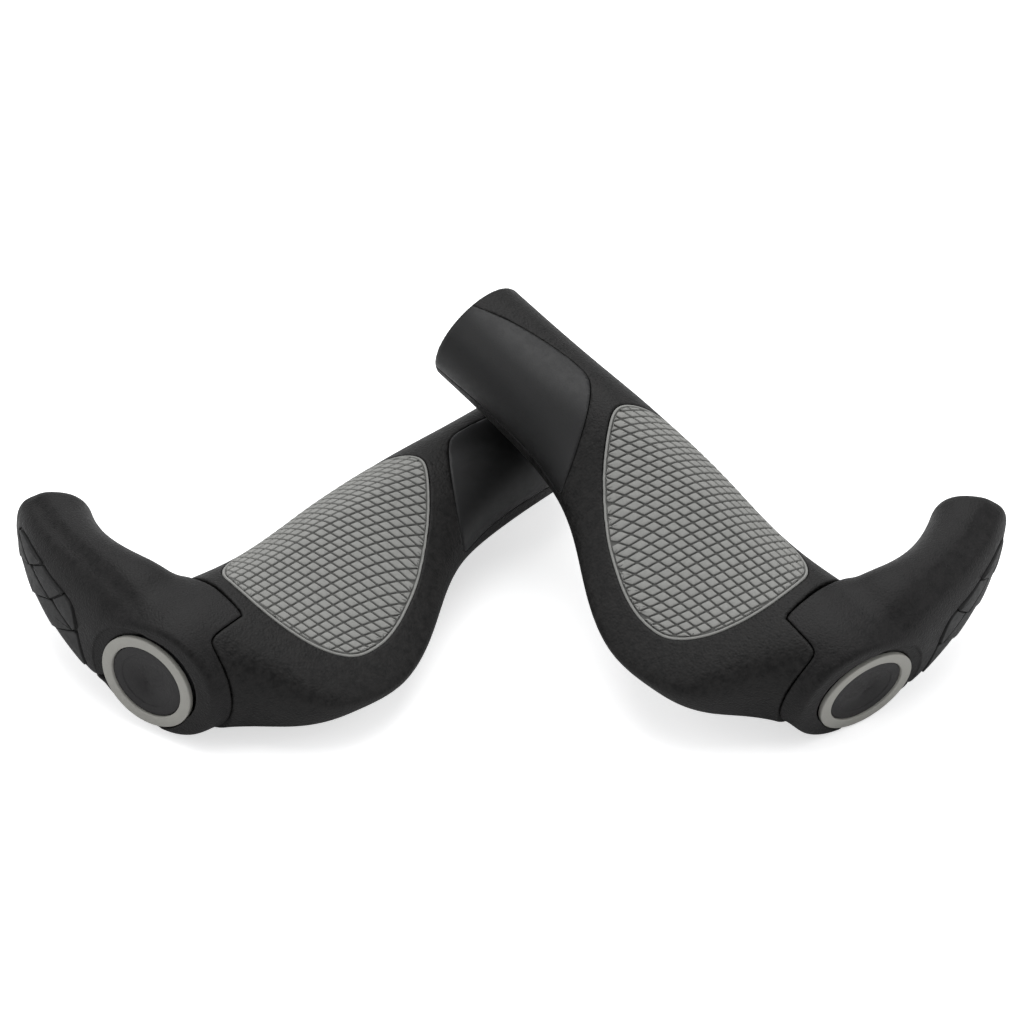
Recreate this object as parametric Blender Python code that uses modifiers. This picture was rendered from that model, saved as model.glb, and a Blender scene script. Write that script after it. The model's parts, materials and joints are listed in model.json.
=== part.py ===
"""A left and right pair of winged bicycle grips with short two-finger bar ends.

Each grip is described in its own frame, in millimetres: X runs along the bar axis from the
end cap to the inner end, Y points forward to the horn and Z up through the palm rest. The
left grip lies level; the right one is its mirror image, its inner end resting on the left
one. Scene units are metres, +Z up, floor at z = 0.
"""

import math

import bpy
import bmesh
import numpy as np
from mathutils import Matrix, Vector

for old in list(bpy.data.objects):
    bpy.data.objects.remove(old, do_unlink=True)

MM = 0.001

# ---------------------------------------------------------------- driving dimensions (mm)
GRIP_LENGTH = 150.0  # cap plane to inner end
BORE_R = 11.15  # for a 22.2 mm handlebar
CORE_R = 13.0
CORE_START, CORE_END = 6.6, 149.6
GAP = 0.3  # between neighbouring pieces
SHELL_BORE_R = CORE_R + GAP

# Cross-section of the grip, station by station along the bar axis.
STATION = (-5.0, 0.0, 5.0, 10.0, 22.0, 36.0, 52.0, 68.0, 84.0, 100.0, 118.0, 150.0)
FRONT_R = (13.4, 16.9, 18.5, 18.9, 17.9, 16.1, 15.8, 16.8, 17.2, 17.0, 16.1, 15.2)
REAR_REACH = (13.4, 17.2, 19.1, 20.0, 34.1, 41.5, 41.3, 34.9, 25.0, 18.0, 15.6, 15.3)
REAR_DROP = (0.0, 0.0, 0.0, -0.2, -2.5, -4.8, -6.3, -4.6, -2.8, -1.2, 0.1, 0.1)
TOP_FLAT = (0.0, 0.0, 0.0, 0.0, 0.19, 0.41, 0.50, 0.51, 0.43, 0.24, 0.0, 0.0)
UNDER_FLAT = (0.0, 0.0, 0.0, -0.03, -0.17, 0.11, 0.26, 0.30, 0.27, 0.12, 0.03, 0.0)

# Seam between bar end and grip body: the bar end has a tongue over the top and front.
SEAM_SHORT, SEAM_LONG = 10.0, 23.2
TONGUE_TOP = (111.0, 120.0)  # degrees: the seam steps back between these angles
TONGUE_UNDER = (-44.0, -38.0)
SEAM_GAP = 0.35
SWIVEL_ROOM = 14.0  # degrees of free space under the tongue

# Thumb sleeve: where the palm rubber ends, by angle round the bar.
SLEEVE_ANGLE = (0.0, 75.0, 82.5, 97.5, 112.5, 127.5, 142.5, 180.0, 187.5, 195.0, 202.5)
SLEEVE_X = (147.0, 147.0, 111.5, 108.0, 104.8, 101.8, 98.8, 94.5, 108.0, 125.0, 147.0)

# Palm inlay outline: station along the bar and angle round it.
PAD_X = (29.3, 39.8, 55.3, 72.2, 87.8, 97.2, 98.8, 90.0, 78.0, 63.8, 50.1, 40.2, 32.2, 28.2)
PAD_ANGLE = (74.2, 48.5, 36.0, 31.5, 38.8, 66.6, 93.5, 124.0, 140.2, 145.1, 145.8, 142.3, 128.2, 105.5)
PAD_DEPTH = 1.5

# Bar end horn: control points of its spine and half-widths along it.
HORN_SPINE = ((12.7, 4.8, -0.5), (10.9, 7.7, 1.4), (1.3, 43.3, 2.7), (25.9, 68.7, 6.6))
HORN_HALF_WIDTH = (17.0, 14.6, 11.7, 10.7, 9.7)
HORN_HALF_HEIGHT = (18.1, 20.4, 19.0, 13.8, 8.8)
HORN_TWIST = (-0.015, -0.088)
HORN_SQUARE, HORN_SQUARE_UNDER = 2.3, 3.6
HORN_UNDER = 0.80  # depth below the spine, as a share of the height above it

# End cap, its plane leaning a little off square to the bar.
CAP_CENTRE = (0.0, 2.7, -2.4)
CAP_NORMAL = (-1.0, -0.206, 0.020)
CAP_RING_R, CAP_RING_INNER_R = 14.05, 10.9
CAP_PROUD = 0.7
CAP_STEM_R, CAP_STEM_END = 10.6, 14.0

# Clamp slit and its screw, below the horn root.
SLIT_ANGLE, SLIT_WIDTH = -26.0, 1.6
SCREW_X, SCREW_RADIUS_OUT = 5.7, 18.2
LOBE_ANGLE, LOBE_OUT, LOBE_HALF = -41.0, 16.2, (6.6, 6.8, 7.4)
SCREW_R, SCREW_HOLE_R = 2.0, 2.3
HEAD_R, HEAD_H, HEAD_POCKET_R = 3.5, 4.0, 4.1
SEAT_BELOW = 4.2  # washer seat below the slit
WASHER_R, WASHER_T = 3.8, 0.8
NUT_AF, NUT_T, NUT_ABOVE = 7.0, 3.2, 4.6

# Where the two grips lie, in millimetres in the scene.
LEFT_AT = (-98.01, 34.16, 19.55)
RIGHT_AT = (33.59, -97.24, 16.65)
RIGHT_TILT = 15.2  # degrees: its inner end lies on the other grip

RUBBER_BLACK = (0.022, 0.022, 0.022, 1.0)
SLEEVE_BLACK = (0.016, 0.016, 0.017, 1.0)
NYLON_BLACK = (0.026, 0.026, 0.027, 1.0)
CORE_BLACK = (0.035, 0.035, 0.037, 1.0)
PAD_GREY = (0.27, 0.27, 0.255, 1.0)
RIB_BLACK = (0.02, 0.02, 0.021, 1.0)
RING_GREY = (0.42, 0.41, 0.385, 1.0)
DISC_BLACK = (0.03, 0.03, 0.032, 1.0)
STEEL = (0.42, 0.42, 0.43, 1.0)

# ---------------------------------------------------------------- collections
main = bpy.data.collections.new("bar_end_grips")
tools = bpy.data.collections.new("cutters")
tools.hide_render = True
bpy.context.scene.collection.children.link(main)
bpy.context.scene.collection.children.link(tools)


# ---------------------------------------------------------------- curves and sections
def spline(knots, values, x):
    """Natural cubic through (knots, values)."""
    k, v = np.asarray(knots, float), np.asarray(values, float)
    n, h = len(k), np.diff(k)
    a, b = np.zeros((n, n)), np.zeros(n)
    a[0, 0] = a[-1, -1] = 1
    for i in range(1, n - 1):
        a[i, i - 1 : i + 2] = h[i - 1], 2 * (h[i - 1] + h[i]), h[i]
        b[i] = 6 * ((v[i + 1] - v[i]) / h[i] - (v[i] - v[i - 1]) / h[i - 1])
    m = np.linalg.solve(a, b)
    x = np.clip(x, k[0], k[-1])
    i = np.clip(np.searchsorted(k, x) - 1, 0, n - 2)
    p, q, w = k[i + 1] - x, x - k[i], h[i]
    return (
        m[i] * p**3 / (6 * w)
        + m[i + 1] * q**3 / (6 * w)
        + (v[i] / w - m[i] * w / 6) * p
        + (v[i + 1] / w - m[i + 1] * w / 6) * q
    )


def grip_point(x, angle):
    """Point on the grip's outer surface; angle in radians, 0 forward, 90 degrees up."""
    x, angle = np.broadcast_arrays(np.asarray(x, float), np.asarray(angle, float))
    r = spline(STATION, FRONT_R, x)
    w = spline(STATION, REAR_REACH, x)
    drop = spline(STATION, REAR_DROP, x)
    top, under = spline(STATION, TOP_FLAT, x), spline(STATION, UNDER_FLAT, x)
    c, s = np.cos(angle), np.sin(angle)
    back = np.clip(-c, 0, None)
    y = np.where(c >= 0, r * c, -(r * back + (w - r) * back**1.35))
    z = r * s * (1 - np.where(s >= 0, top, under) * back**1.2) + drop * back**1.8
    return np.stack([x, y, z], -1)


def horn_point(v, angle):
    v, angle = np.broadcast_arrays(np.asarray(v, float), np.asarray(angle, float))
    p0, p1, p2, p3 = np.asarray(HORN_SPINE, float)
    v1 = v[..., None]
    spine = (1 - v1) ** 3 * p0 + 3 * (1 - v1) ** 2 * v1 * p1 + 3 * (1 - v1) * v1**2 * p2 + v1**3 * p3
    t = 3 * (1 - v1) ** 2 * (p1 - p0) + 6 * (1 - v1) * v1 * (p2 - p1) + 3 * v1**2 * (p3 - p2)
    t = t / np.linalg.norm(t, axis=-1, keepdims=True)
    up = np.array([0, 0, 1.0]) - t * t[..., 2:3]
    up = up / np.linalg.norm(up, axis=-1, keepdims=True)
    side = np.cross(t, up)
    twist = (HORN_TWIST[0] * (1 - v) + HORN_TWIST[1] * v)[..., None]
    side, up = side * np.cos(twist) + up * np.sin(twist), -side * np.sin(twist) + up * np.cos(twist)
    k = np.linspace(0, 1, 5)
    a, b = spline(k, HORN_HALF_WIDTH, v), spline(k, HORN_HALF_HEIGHT, v)
    c, s = np.cos(angle), np.sin(angle)
    # the tip ends blunt, with a rounded rim
    end = np.clip((v - 0.872) / 0.073, 0, 1)
    close = np.sqrt(np.clip(1 - end**4, 0, 1))
    power = np.where(s >= 0, 2 / HORN_SQUARE, 2 / HORN_SQUARE_UNDER)
    ex = np.sign(c) * np.abs(c) ** power
    ey = np.sign(s) * np.abs(s) ** power * np.where(s >= 0, 1.0, HORN_UNDER)
    return spine + side * (a * close * ex)[..., None] + up * (b * close * ey)[..., None]


def ring_spline(values, count):
    """Closed smooth curve through the values, sampled count times."""
    v = np.asarray(values, float)
    n = len(v)
    t = np.arange(count) * n / count
    i, f = np.floor(t).astype(int), (t % 1)[:, None]
    a, b, c, d = v[(i - 1) % n], v[i % n], v[(i + 1) % n], v[(i + 2) % n]
    return 0.5 * (2 * b + (c - a) * f + (2 * a - 5 * b + 4 * c - d) * f**2 + (3 * b - a - 3 * c + d) * f**3)


def step_angles(count):
    return np.arange(count) * 2 * math.pi / count


# ---------------------------------------------------------------- mesh building
def link(name, mesh, collection=main):
    obj = bpy.data.objects.new(name, mesh)
    collection.objects.link(obj)
    if collection is tools:
        obj.hide_render = True
        obj.display_type = "WIRE"
    return obj


def loft(name, rings, collection=tools):
    """Closed body through rings of equal length, with flat end faces."""
    rings = np.asarray(rings, float)
    count, around = rings.shape[:2]
    faces = [
        (i * around + j, i * around + (j + 1) % around, (i + 1) * around + (j + 1) % around, (i + 1) * around + j)
        for i in range(count - 1)
        for j in range(around)
    ]
    faces.append(tuple(range(around))[::-1])
    faces.append(tuple((count - 1) * around + j for j in range(around)))
    mesh = bpy.data.meshes.new(name)
    mesh.from_pydata([tuple(p * MM) for p in rings.reshape(-1, 3)], [], faces)
    bm = bmesh.new()
    bm.from_mesh(mesh)
    bmesh.ops.recalc_face_normals(bm, faces=bm.faces)
    bm.to_mesh(mesh)
    bm.free()
    return link(name, mesh, collection)


def wavy_collar(name, edge_x, far_x, inner_r, outer_r, around=120):
    """Thick-walled collar whose near end follows edge_x(angle in degrees)."""
    angles = step_angles(around)
    x = np.array([edge_x(math.degrees(t)) for t in angles])
    outer = np.array([outer_r(math.degrees(t)) for t in angles])
    c, s = np.cos(angles), np.sin(angles)
    inner = np.full(around, inner_r)
    loop = [(x, inner), (x, outer), (np.full(around, far_x), outer), (np.full(around, far_x), inner)]
    verts = np.concatenate([np.stack([a, r * c, r * s], -1) for a, r in loop])
    faces = [
        (k * around + j, k * around + (j + 1) % around, ((k + 1) % 4) * around + (j + 1) % around, ((k + 1) % 4) * around + j)
        for k in range(1, 4)
        for j in range(around)
    ]
    # the wavy end is split the same way in every collar, so that two of them stay parallel
    for j in range(around):
        k = (j + 1) % around
        faces += [(j, k, around + k), (j, around + k, around + j)]
    mesh = bpy.data.meshes.new(name)
    mesh.from_pydata([tuple(p * MM) for p in verts], [], faces)
    bm = bmesh.new()
    bm.from_mesh(mesh)
    bmesh.ops.recalc_face_normals(bm, faces=bm.faces)
    bm.to_mesh(mesh)
    bm.free()
    return link(name, mesh, tools)


def patch(name, point, outline, rings, below, above, collection=tools):
    """Shell over a patch of a surface: the outline shrinks to its middle in rings, and a
    Solidify gives the thickness from `below` under the surface to `above` over it."""
    outline = np.asarray(outline, float)
    middle = outline.mean(0)
    count = len(outline)
    grid = [middle + (outline - middle) * f for f in np.linspace(1, 0, rings + 1)[:-1]]
    uv = np.concatenate(grid + [middle[None]])
    verts = point(uv[:, 0], uv[:, 1])
    faces = [
        (i * count + j, i * count + (j + 1) % count, (i + 1) * count + (j + 1) % count, (i + 1) * count + j)
        for i in range(rings - 1)
        for j in range(count)
    ]
    last = (rings - 1) * count
    faces += [(last + j, last + (j + 1) % count, rings * count) for j in range(count)]
    mesh = bpy.data.meshes.new(name)
    mesh.from_pydata([tuple(p * MM) for p in verts], [], faces)
    bm = bmesh.new()
    bm.from_mesh(mesh)
    bmesh.ops.recalc_face_normals(bm, faces=bm.faces)
    bm.normal_update()
    centre = Vector(tuple(middle_inside(point, middle) * MM))
    face = min(bm.faces, key=lambda f: (f.calc_center_median() - Vector(tuple(point(middle[0], middle[1]) * MM))).length)
    if face.normal.dot(face.calc_center_median() - centre) < 0:
        bmesh.ops.reverse_faces(bm, faces=bm.faces)
    bm.to_mesh(mesh)
    bm.free()
    obj = link(name, mesh, collection)
    solid = obj.modifiers.new("thickness", "SOLIDIFY")
    solid.thickness = (below + above) * MM
    # offset 1 grows outwards only, -1 inwards only
    solid.offset = (above - below) / (above + below)
    solid.use_even_offset = False
    solid.use_rim = True
    return obj


def middle_inside(point, at):
    """A point well inside the body under this place on its surface."""
    ring = point(np.full(8, at[0]), step_angles(8))
    return ring.mean(0)


def cylinder(name, start, end, radius, sides=48, collection=tools):
    start, end = Vector(start), Vector(end)
    bpy.ops.mesh.primitive_cylinder_add(vertices=sides, radius=radius * MM, depth=(end - start).length * MM)
    obj = bpy.context.active_object
    turn = Vector((0, 0, 1)).rotation_difference((end - start).normalized()).to_matrix().to_4x4()
    obj.data.transform(Matrix.Translation((start + end) * 0.5 * MM) @ turn)
    return claim(obj, name, collection)


def box(name, centre, half, turn=Matrix.Identity(3), collection=tools):
    bpy.ops.mesh.primitive_cube_add(size=2)
    obj = bpy.context.active_object
    scale = Matrix.Diagonal(Vector((*half, 1.0))) * 1.0
    obj.data.transform(Matrix.Translation(Vector(centre) * MM) @ turn.to_4x4() @ Matrix.Scale(MM, 4) @ scale)
    return claim(obj, name, collection)


def claim(obj, name, collection):
    obj.name = name
    for c in list(obj.users_collection):
        c.objects.unlink(obj)
    collection.objects.link(obj)
    obj.matrix_world = Matrix.Identity(4)
    if collection is tools:
        obj.hide_render = True
        obj.display_type = "WIRE"
    return obj


def turned(name, axis_at, axis, profile, steps=40, collection=tools):
    """Screw of a profile of (along, radius) pairs round an axis through axis_at."""
    mesh = bpy.data.meshes.new(name)
    pts = [(r * MM, 0.0, a * MM) for a, r in profile]
    mesh.from_pydata(pts, [(i, (i + 1) % len(pts)) for i in range(len(pts))], [])
    obj = link(name, mesh, collection)
    screw = obj.modifiers.new("turn", "SCREW")
    screw.steps = screw.render_steps = steps
    screw.use_merge_vertices = True
    screw.merge_threshold = 0.00001
    screw.use_normal_calculate = True
    obj.data.transform(Matrix.Identity(4))
    flat = apply(obj)
    turn = Vector((0, 0, 1)).rotation_difference(Vector(axis).normalized()).to_matrix().to_4x4()
    flat.data.transform(Matrix.Translation(Vector(axis_at) * MM) @ turn)
    return flat


def apply(obj):
    """Replace the object's mesh by the evaluated one, normals outwards."""
    graph = bpy.context.evaluated_depsgraph_get()
    mesh = bpy.data.meshes.new_from_object(obj.evaluated_get(graph))
    bm = bmesh.new()
    bm.from_mesh(mesh)
    bmesh.ops.remove_doubles(bm, verts=bm.verts, dist=1e-7)
    bmesh.ops.recalc_face_normals(bm, faces=bm.faces)
    if bm.calc_volume(signed=True) < 0:
        bmesh.ops.reverse_faces(bm, faces=bm.faces)
    bm.to_mesh(mesh)
    bm.free()
    obj.modifiers.clear()
    obj.data = mesh
    return obj


def boolean(obj, other, operation):
    mod = obj.modifiers.new(operation.lower(), "BOOLEAN")
    mod.operation = operation
    mod.solver = "EXACT"
    mod.object = other
    return apply(obj)


def cut(obj, *others):
    for other in others:
        boolean(obj, other, "DIFFERENCE")
    return obj


def join(obj, *others):
    for other in others:
        boolean(obj, other, "UNION")
    return obj


# ---------------------------------------------------------------- seam functions
def seam(degrees):
    """Bar end's edge along the bar at this angle."""
    d = (degrees + 180) % 360 - 180
    if d < TONGUE_UNDER[0] or d > TONGUE_TOP[1]:
        return SEAM_SHORT
    if d < TONGUE_UNDER[1]:
        return SEAM_SHORT + (SEAM_LONG - SEAM_SHORT) * (d - TONGUE_UNDER[0]) / (TONGUE_UNDER[1] - TONGUE_UNDER[0])
    if d > TONGUE_TOP[0]:
        return SEAM_LONG - (SEAM_LONG - SEAM_SHORT) * (d - TONGUE_TOP[0]) / (TONGUE_TOP[1] - TONGUE_TOP[0])
    return SEAM_LONG


def body_edge(degrees):
    """Grip body's edge: the seam swept through the swivel, plus the gap."""
    sweep = np.linspace(-1.2, SWIVEL_ROOM, 40)
    return max(seam(degrees + s) for s in sweep) + SEAM_GAP


def sleeve_edge(degrees):
    d = degrees % 360
    return float(np.interp(d, SLEEVE_ANGLE + (360.0,), SLEEVE_X + (SLEEVE_X[0],)))


# ---------------------------------------------------------------- shared shapes
def envelope(name, stations, around=36):
    angles = step_angles(around)
    return loft(name, [grip_point(np.full(around, x), angles) for x in stations])


pad_outline = ring_spline(np.stack([PAD_X, np.radians(PAD_ANGLE)], 1), 32)


def grown(outline, grow_x, surface):
    """Outline moved outwards by grow_x millimetres, in station and angle."""
    middle = outline.mean(0)
    out = outline - middle
    radius = np.linalg.norm(surface(outline[:, 0], outline[:, 1])[:, 1:], axis=1)
    length = np.hypot(out[:, 0], out[:, 1] * radius)
    return middle + out * (1 + grow_x / length)[:, None]


def build_grip_body():
    body = envelope("grip_body", np.concatenate([[SEAM_SHORT - 0.5, 14, 18.5], np.linspace(23, 119, 14), [145]]))
    cut(body, cylinder("grip_bore", (-20, 0, 0), (180, 0, 0), SHELL_BORE_R, 32))
    cut(body, wavy_collar("grip_seam", body_edge, -30.0, 5.0, lambda d: 70.0, 120))
    cut(body, wavy_collar("grip_sleeve_seam", lambda d: sleeve_edge(d) - GAP / 2, 190.0, 5.0, lambda d: 70.0, 48))
    pocket = apply(patch("pad_pocket", grip_point, grown(pad_outline, GAP, grip_point), 5, PAD_DEPTH + GAP, 2.5))
    cut(body, pocket)
    return body


def build_thumb_sleeve():
    sleeve = envelope("thumb_sleeve", np.concatenate([np.linspace(92, 134, 6), [GRIP_LENGTH - 0.8]]), 36)
    end_cap = turned("sleeve_end", (0, 0, 0), (1, 0, 0), [(GRIP_LENGTH - 1.2, 13.6), (GRIP_LENGTH, 13.6), (GRIP_LENGTH, 14.7), (GRIP_LENGTH - 1.2, 15.0)], 36)
    join(sleeve, end_cap)
    cut(sleeve, cylinder("sleeve_bore", (60, 0, 0), (180, 0, 0), SHELL_BORE_R, 32))
    cut(sleeve, wavy_collar("sleeve_seam", lambda d: sleeve_edge(d) + GAP / 2, 40.0, 5.0, lambda d: 70.0, 48))
    return sleeve


def build_core():
    core = turned("core", (0, 0, 0), (1, 0, 0), [(CORE_START, BORE_R), (CORE_END, BORE_R), (CORE_END, CORE_R), (CORE_START, CORE_R)], 32)
    for i, degrees in enumerate((64.0, 154.0, 244.0)):
        t = math.radians(degrees)
        turn = Matrix.Rotation(t, 3, "X")
        cut(core, box(f"core_slot_{i}", (10.0, 12 * math.cos(t), 12 * math.sin(t)), (10.0, 3.0, 1.0), turn))
    return core


def build_pad():
    return apply(patch("pad", grip_point, pad_outline, 5, PAD_DEPTH, 0.05))


def slit_frame():
    t = math.radians(SLIT_ANGLE)
    out = Vector((0, math.cos(t), math.sin(t)))
    normal = Vector((0, -math.sin(t), math.cos(t)))
    return out, normal


def cap_axis():
    return Vector(CAP_NORMAL).normalized()


def rib_outline(grow=0.0, count=24):
    """Insert outline on the horn: spine fraction and angle round the horn."""
    t = step_angles(count)
    along, wide = 0.235 + grow * 0.010, math.radians(33.0) + grow * 0.06
    x = 0.640 + along * np.cos(t)
    narrowing = 1.0 - 0.30 * np.cos(t) ** 3
    a = math.radians(181.0) + wide * np.sign(np.sin(t)) * np.abs(np.sin(t)) ** 0.8 * narrowing
    return np.stack([x, a], 1)


def build_bar_end():
    angles = step_angles(44)
    clamp = envelope("bar_end", [-4.6, -3.4, -2.0, 0, 3, 6, 10, 14, 18.5, 24.5], 36)
    stations = [0.10, 0.20, 0.32, 0.44, 0.56, 0.68, 0.80, 0.86, 0.895, 0.917, 0.933, 0.942]
    horn = loft("horn", [horn_point(np.full(28, v), step_angles(28)) for v in stations])
    lobe_t = math.radians(LOBE_ANGLE)
    bpy.ops.mesh.primitive_uv_sphere_add(segments=16, ring_count=8, radius=MM)
    lobe = bpy.context.active_object
    lobe.data.transform(
        Matrix.Translation(Vector((4.4, LOBE_OUT * math.cos(lobe_t), LOBE_OUT * math.sin(lobe_t))) * MM)
        @ Matrix.Rotation(lobe_t, 4, "X")
        @ Matrix.Diagonal(Vector((*LOBE_HALF, 1.0)))
    )
    claim(lobe, "jaw_lobe", tools)
    join(clamp, horn, lobe)
    # the wing behind the seam belongs to the grip body
    cut(clamp, wavy_collar("bar_end_seam", seam, 60.0, 5.0, lambda d: 22.0 if abs((d + 180) % 360 - 180) < 62 else 70.0, 120))
    n = cap_axis()
    centre = Vector(CAP_CENTRE)
    # outer end face, square to the cap
    turn = Vector((0, 0, 1)).rotation_difference(n).to_matrix()
    cut(clamp, box("end_face", centre + n * 20.0, (27.0, 27.0, 20.0), turn))
    # the seat's wall runs along the bar, so that the cap pulls straight out
    seat = cylinder("cap_seat", centre - Vector((20, 0, 0)), centre + Vector((12, 0, 0)), CAP_RING_R + GAP + 0.1, 40)
    cut(seat, box("seat_floor", centre - n * 22.9, (40.0, 40.0, 20.0), turn))
    cut(clamp, seat)
    cut(clamp, cylinder("clamp_bore", (-20, 0, 0), (60, 0, 0), SHELL_BORE_R, 32))
    out, normal = slit_frame()
    slit_turn = Matrix((Vector((1, 0, 0)), out, normal)).transposed()
    cut(clamp, box("slit", Vector((10, 0, 0)) + out * 26.0, (40.0, 15.5, SLIT_WIDTH / 2), slit_turn))
    at = Vector((SCREW_X, 0, 0)) + out * SCREW_RADIUS_OUT
    cut(clamp, cylinder("screw_hole", at - normal * 20, at + normal * (NUT_ABOVE + NUT_T + 4.4), SCREW_HOLE_R, 16))
    cut(clamp, cylinder("head_pocket", at - normal * 24, at - normal * SEAT_BELOW, HEAD_POCKET_R, 20))
    cut(
        clamp,
        box(
            "nut_pocket",
            at + normal * (NUT_ABOVE + NUT_T / 2) - out * 3.5,
            (NUT_AF / 2 + GAP, NUT_AF / 2 + GAP + 3.5, NUT_T / 2 + GAP),
            slit_turn,
        ),
    )
    cut(clamp, apply(patch("rib_pocket", horn_point, rib_outline(1.0), 3, 1.9, 3.0)))
    return clamp


def build_rib_pad():
    return apply(patch("rib_pad", horn_point, rib_outline(0.0), 3, 1.55, 0.35))


def build_screw():
    out, normal = slit_frame()
    at = Vector((SCREW_X, 0, 0)) + out * SCREW_RADIUS_OUT
    top = NUT_ABOVE + NUT_T + 1.6
    head = SEAT_BELOW + GAP + WASHER_T + GAP
    r, h = SCREW_R, HEAD_R
    screw = turned(
        "screw", at, normal,
        [(-head - HEAD_H, 0.0), (-head - HEAD_H, h - 0.4), (-head - HEAD_H + 0.4, h), (-head, h), (-head, r), (top - 0.6, r), (top, r - 0.6), (top, 0.0)][::-1],
        20,
    )
    bpy.ops.mesh.primitive_cylinder_add(vertices=6, radius=1.73 * MM, depth=4.6 * MM)
    key = claim(bpy.context.active_object, "hex_key", tools)
    turn = Vector((0, 0, 1)).rotation_difference(normal).to_matrix().to_4x4()
    key.data.transform(Matrix.Translation((at - normal * (head + HEAD_H)) * MM) @ turn)
    return cut(screw, key)


def build_washer():
    out, normal = slit_frame()
    at = Vector((SCREW_X, 0, 0)) + out * SCREW_RADIUS_OUT
    low = -(SEAT_BELOW + GAP + WASHER_T)
    return turned("washer", at, normal, [(low, SCREW_HOLE_R), (low + WASHER_T, SCREW_HOLE_R), (low + WASHER_T, WASHER_R), (low, WASHER_R)], 20)


def build_nut():
    out, normal = slit_frame()
    at = Vector((SCREW_X, 0, 0)) + out * SCREW_RADIUS_OUT
    slit_turn = Matrix((Vector((1, 0, 0)), out, normal)).transposed()
    nut = box("nut", at + normal * (NUT_ABOVE + NUT_T / 2), (NUT_AF / 2, NUT_AF / 2, NUT_T / 2), slit_turn)
    return cut(nut, cylinder("nut_hole", at, at + normal * 20, SCREW_HOLE_R, 16))


def build_cap_plug():
    """Flange on the cap's tilted plane, with a hollow split stem in the bore."""
    n = cap_axis()
    centre = Vector(CAP_CENTRE)
    plug = cylinder("plug", centre - n * 2.6, centre - n * 1.0, CAP_RING_R - 0.5, 40)
    stem = cylinder("stem", (-0.5, 0, 0), (CAP_STEM_END, 0, 0), CAP_STEM_R, 32)
    trim = box("stem_trim", centre + n * 18.4, (40.0, 40.0, 20.0), Vector((0, 0, 1)).rotation_difference(n).to_matrix())
    cut(stem, trim)
    join(plug, stem)
    cut(plug, cylinder("stem_hollow", (4.6, 0, 0), (30, 0, 0), CAP_STEM_R - 2.0, 24))
    for i, degrees in enumerate((20.0, 110.0)):
        cut(plug, box(f"stem_split_{i}", (13.0, 0, 0), (6.5, 14.0, 0.8), Matrix.Rotation(math.radians(degrees), 3, "X")))
    return plug


def build_cap_ring():
    n = cap_axis()
    centre = Vector(CAP_CENTRE)
    o, i = CAP_RING_R, CAP_RING_INNER_R
    return turned(
        "ring", centre, n,
        [(-0.7, i), (CAP_PROUD - 0.3, i), (CAP_PROUD, i + 0.35), (CAP_PROUD, o - 0.8), (CAP_PROUD - 0.6, o), (-0.7, o)],
        40,
    )


def build_cap_disc():
    n = cap_axis()
    centre = Vector(CAP_CENTRE)
    i = CAP_RING_INNER_R - GAP
    return turned(
        "disc", centre, n,
        [(-0.7, 0.0), (-0.7, i), (CAP_PROUD - 0.6, i), (CAP_PROUD - 0.3, i - 0.5), (CAP_PROUD - 0.1, i * 0.5), (CAP_PROUD - 0.05, 0.0)][::-1],
        36,
    )


# ---------------------------------------------------------------- placing
def frame_matrix(at, bar, up, mirrored):
    bar, up = Vector(bar).normalized(), Vector(up)
    up = (up - bar * up.dot(bar)).normalized()
    forward = bar.cross(up) if mirrored else up.cross(bar)
    turn = Matrix((bar, forward, up)).transposed()
    return Matrix.Translation(Vector(at) * MM) @ turn.to_4x4()


LEFT = frame_matrix(LEFT_AT, (1, 0, 0), (0, 0, 1), False)
tilt = math.radians(RIGHT_TILT)
RIGHT = frame_matrix(RIGHT_AT, (0, math.cos(tilt), math.sin(tilt)), (0, -math.sin(tilt), math.cos(tilt)), True)


def material(name, colour, roughness, metallic=0.0):
    mat = bpy.data.materials.new(name)
    mat.use_nodes = True
    shader = mat.node_tree.nodes["Principled BSDF"]
    shader.inputs["Base Color"].default_value = colour
    shader.inputs["Roughness"].default_value = roughness
    shader.inputs["Metallic"].default_value = metallic
    mat.diffuse_color = colour
    return mat


def place(shape, name, matrix, origin, colour, roughness, metallic=0.0):
    """A copy of the shape as a node of one side, its origin on its own axis."""
    mesh = shape.data.copy()
    mesh.transform(matrix)
    if matrix.determinant() < 0:
        mesh.flip_normals()
    at = matrix @ (Vector(origin) * MM)
    mesh.transform(Matrix.Translation(-at))
    mesh.materials.clear()
    mesh.materials.append(material(name, colour, roughness, metallic))
    mesh.name = name
    node = link(name, mesh, main)
    node.location = at
    return node


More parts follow.
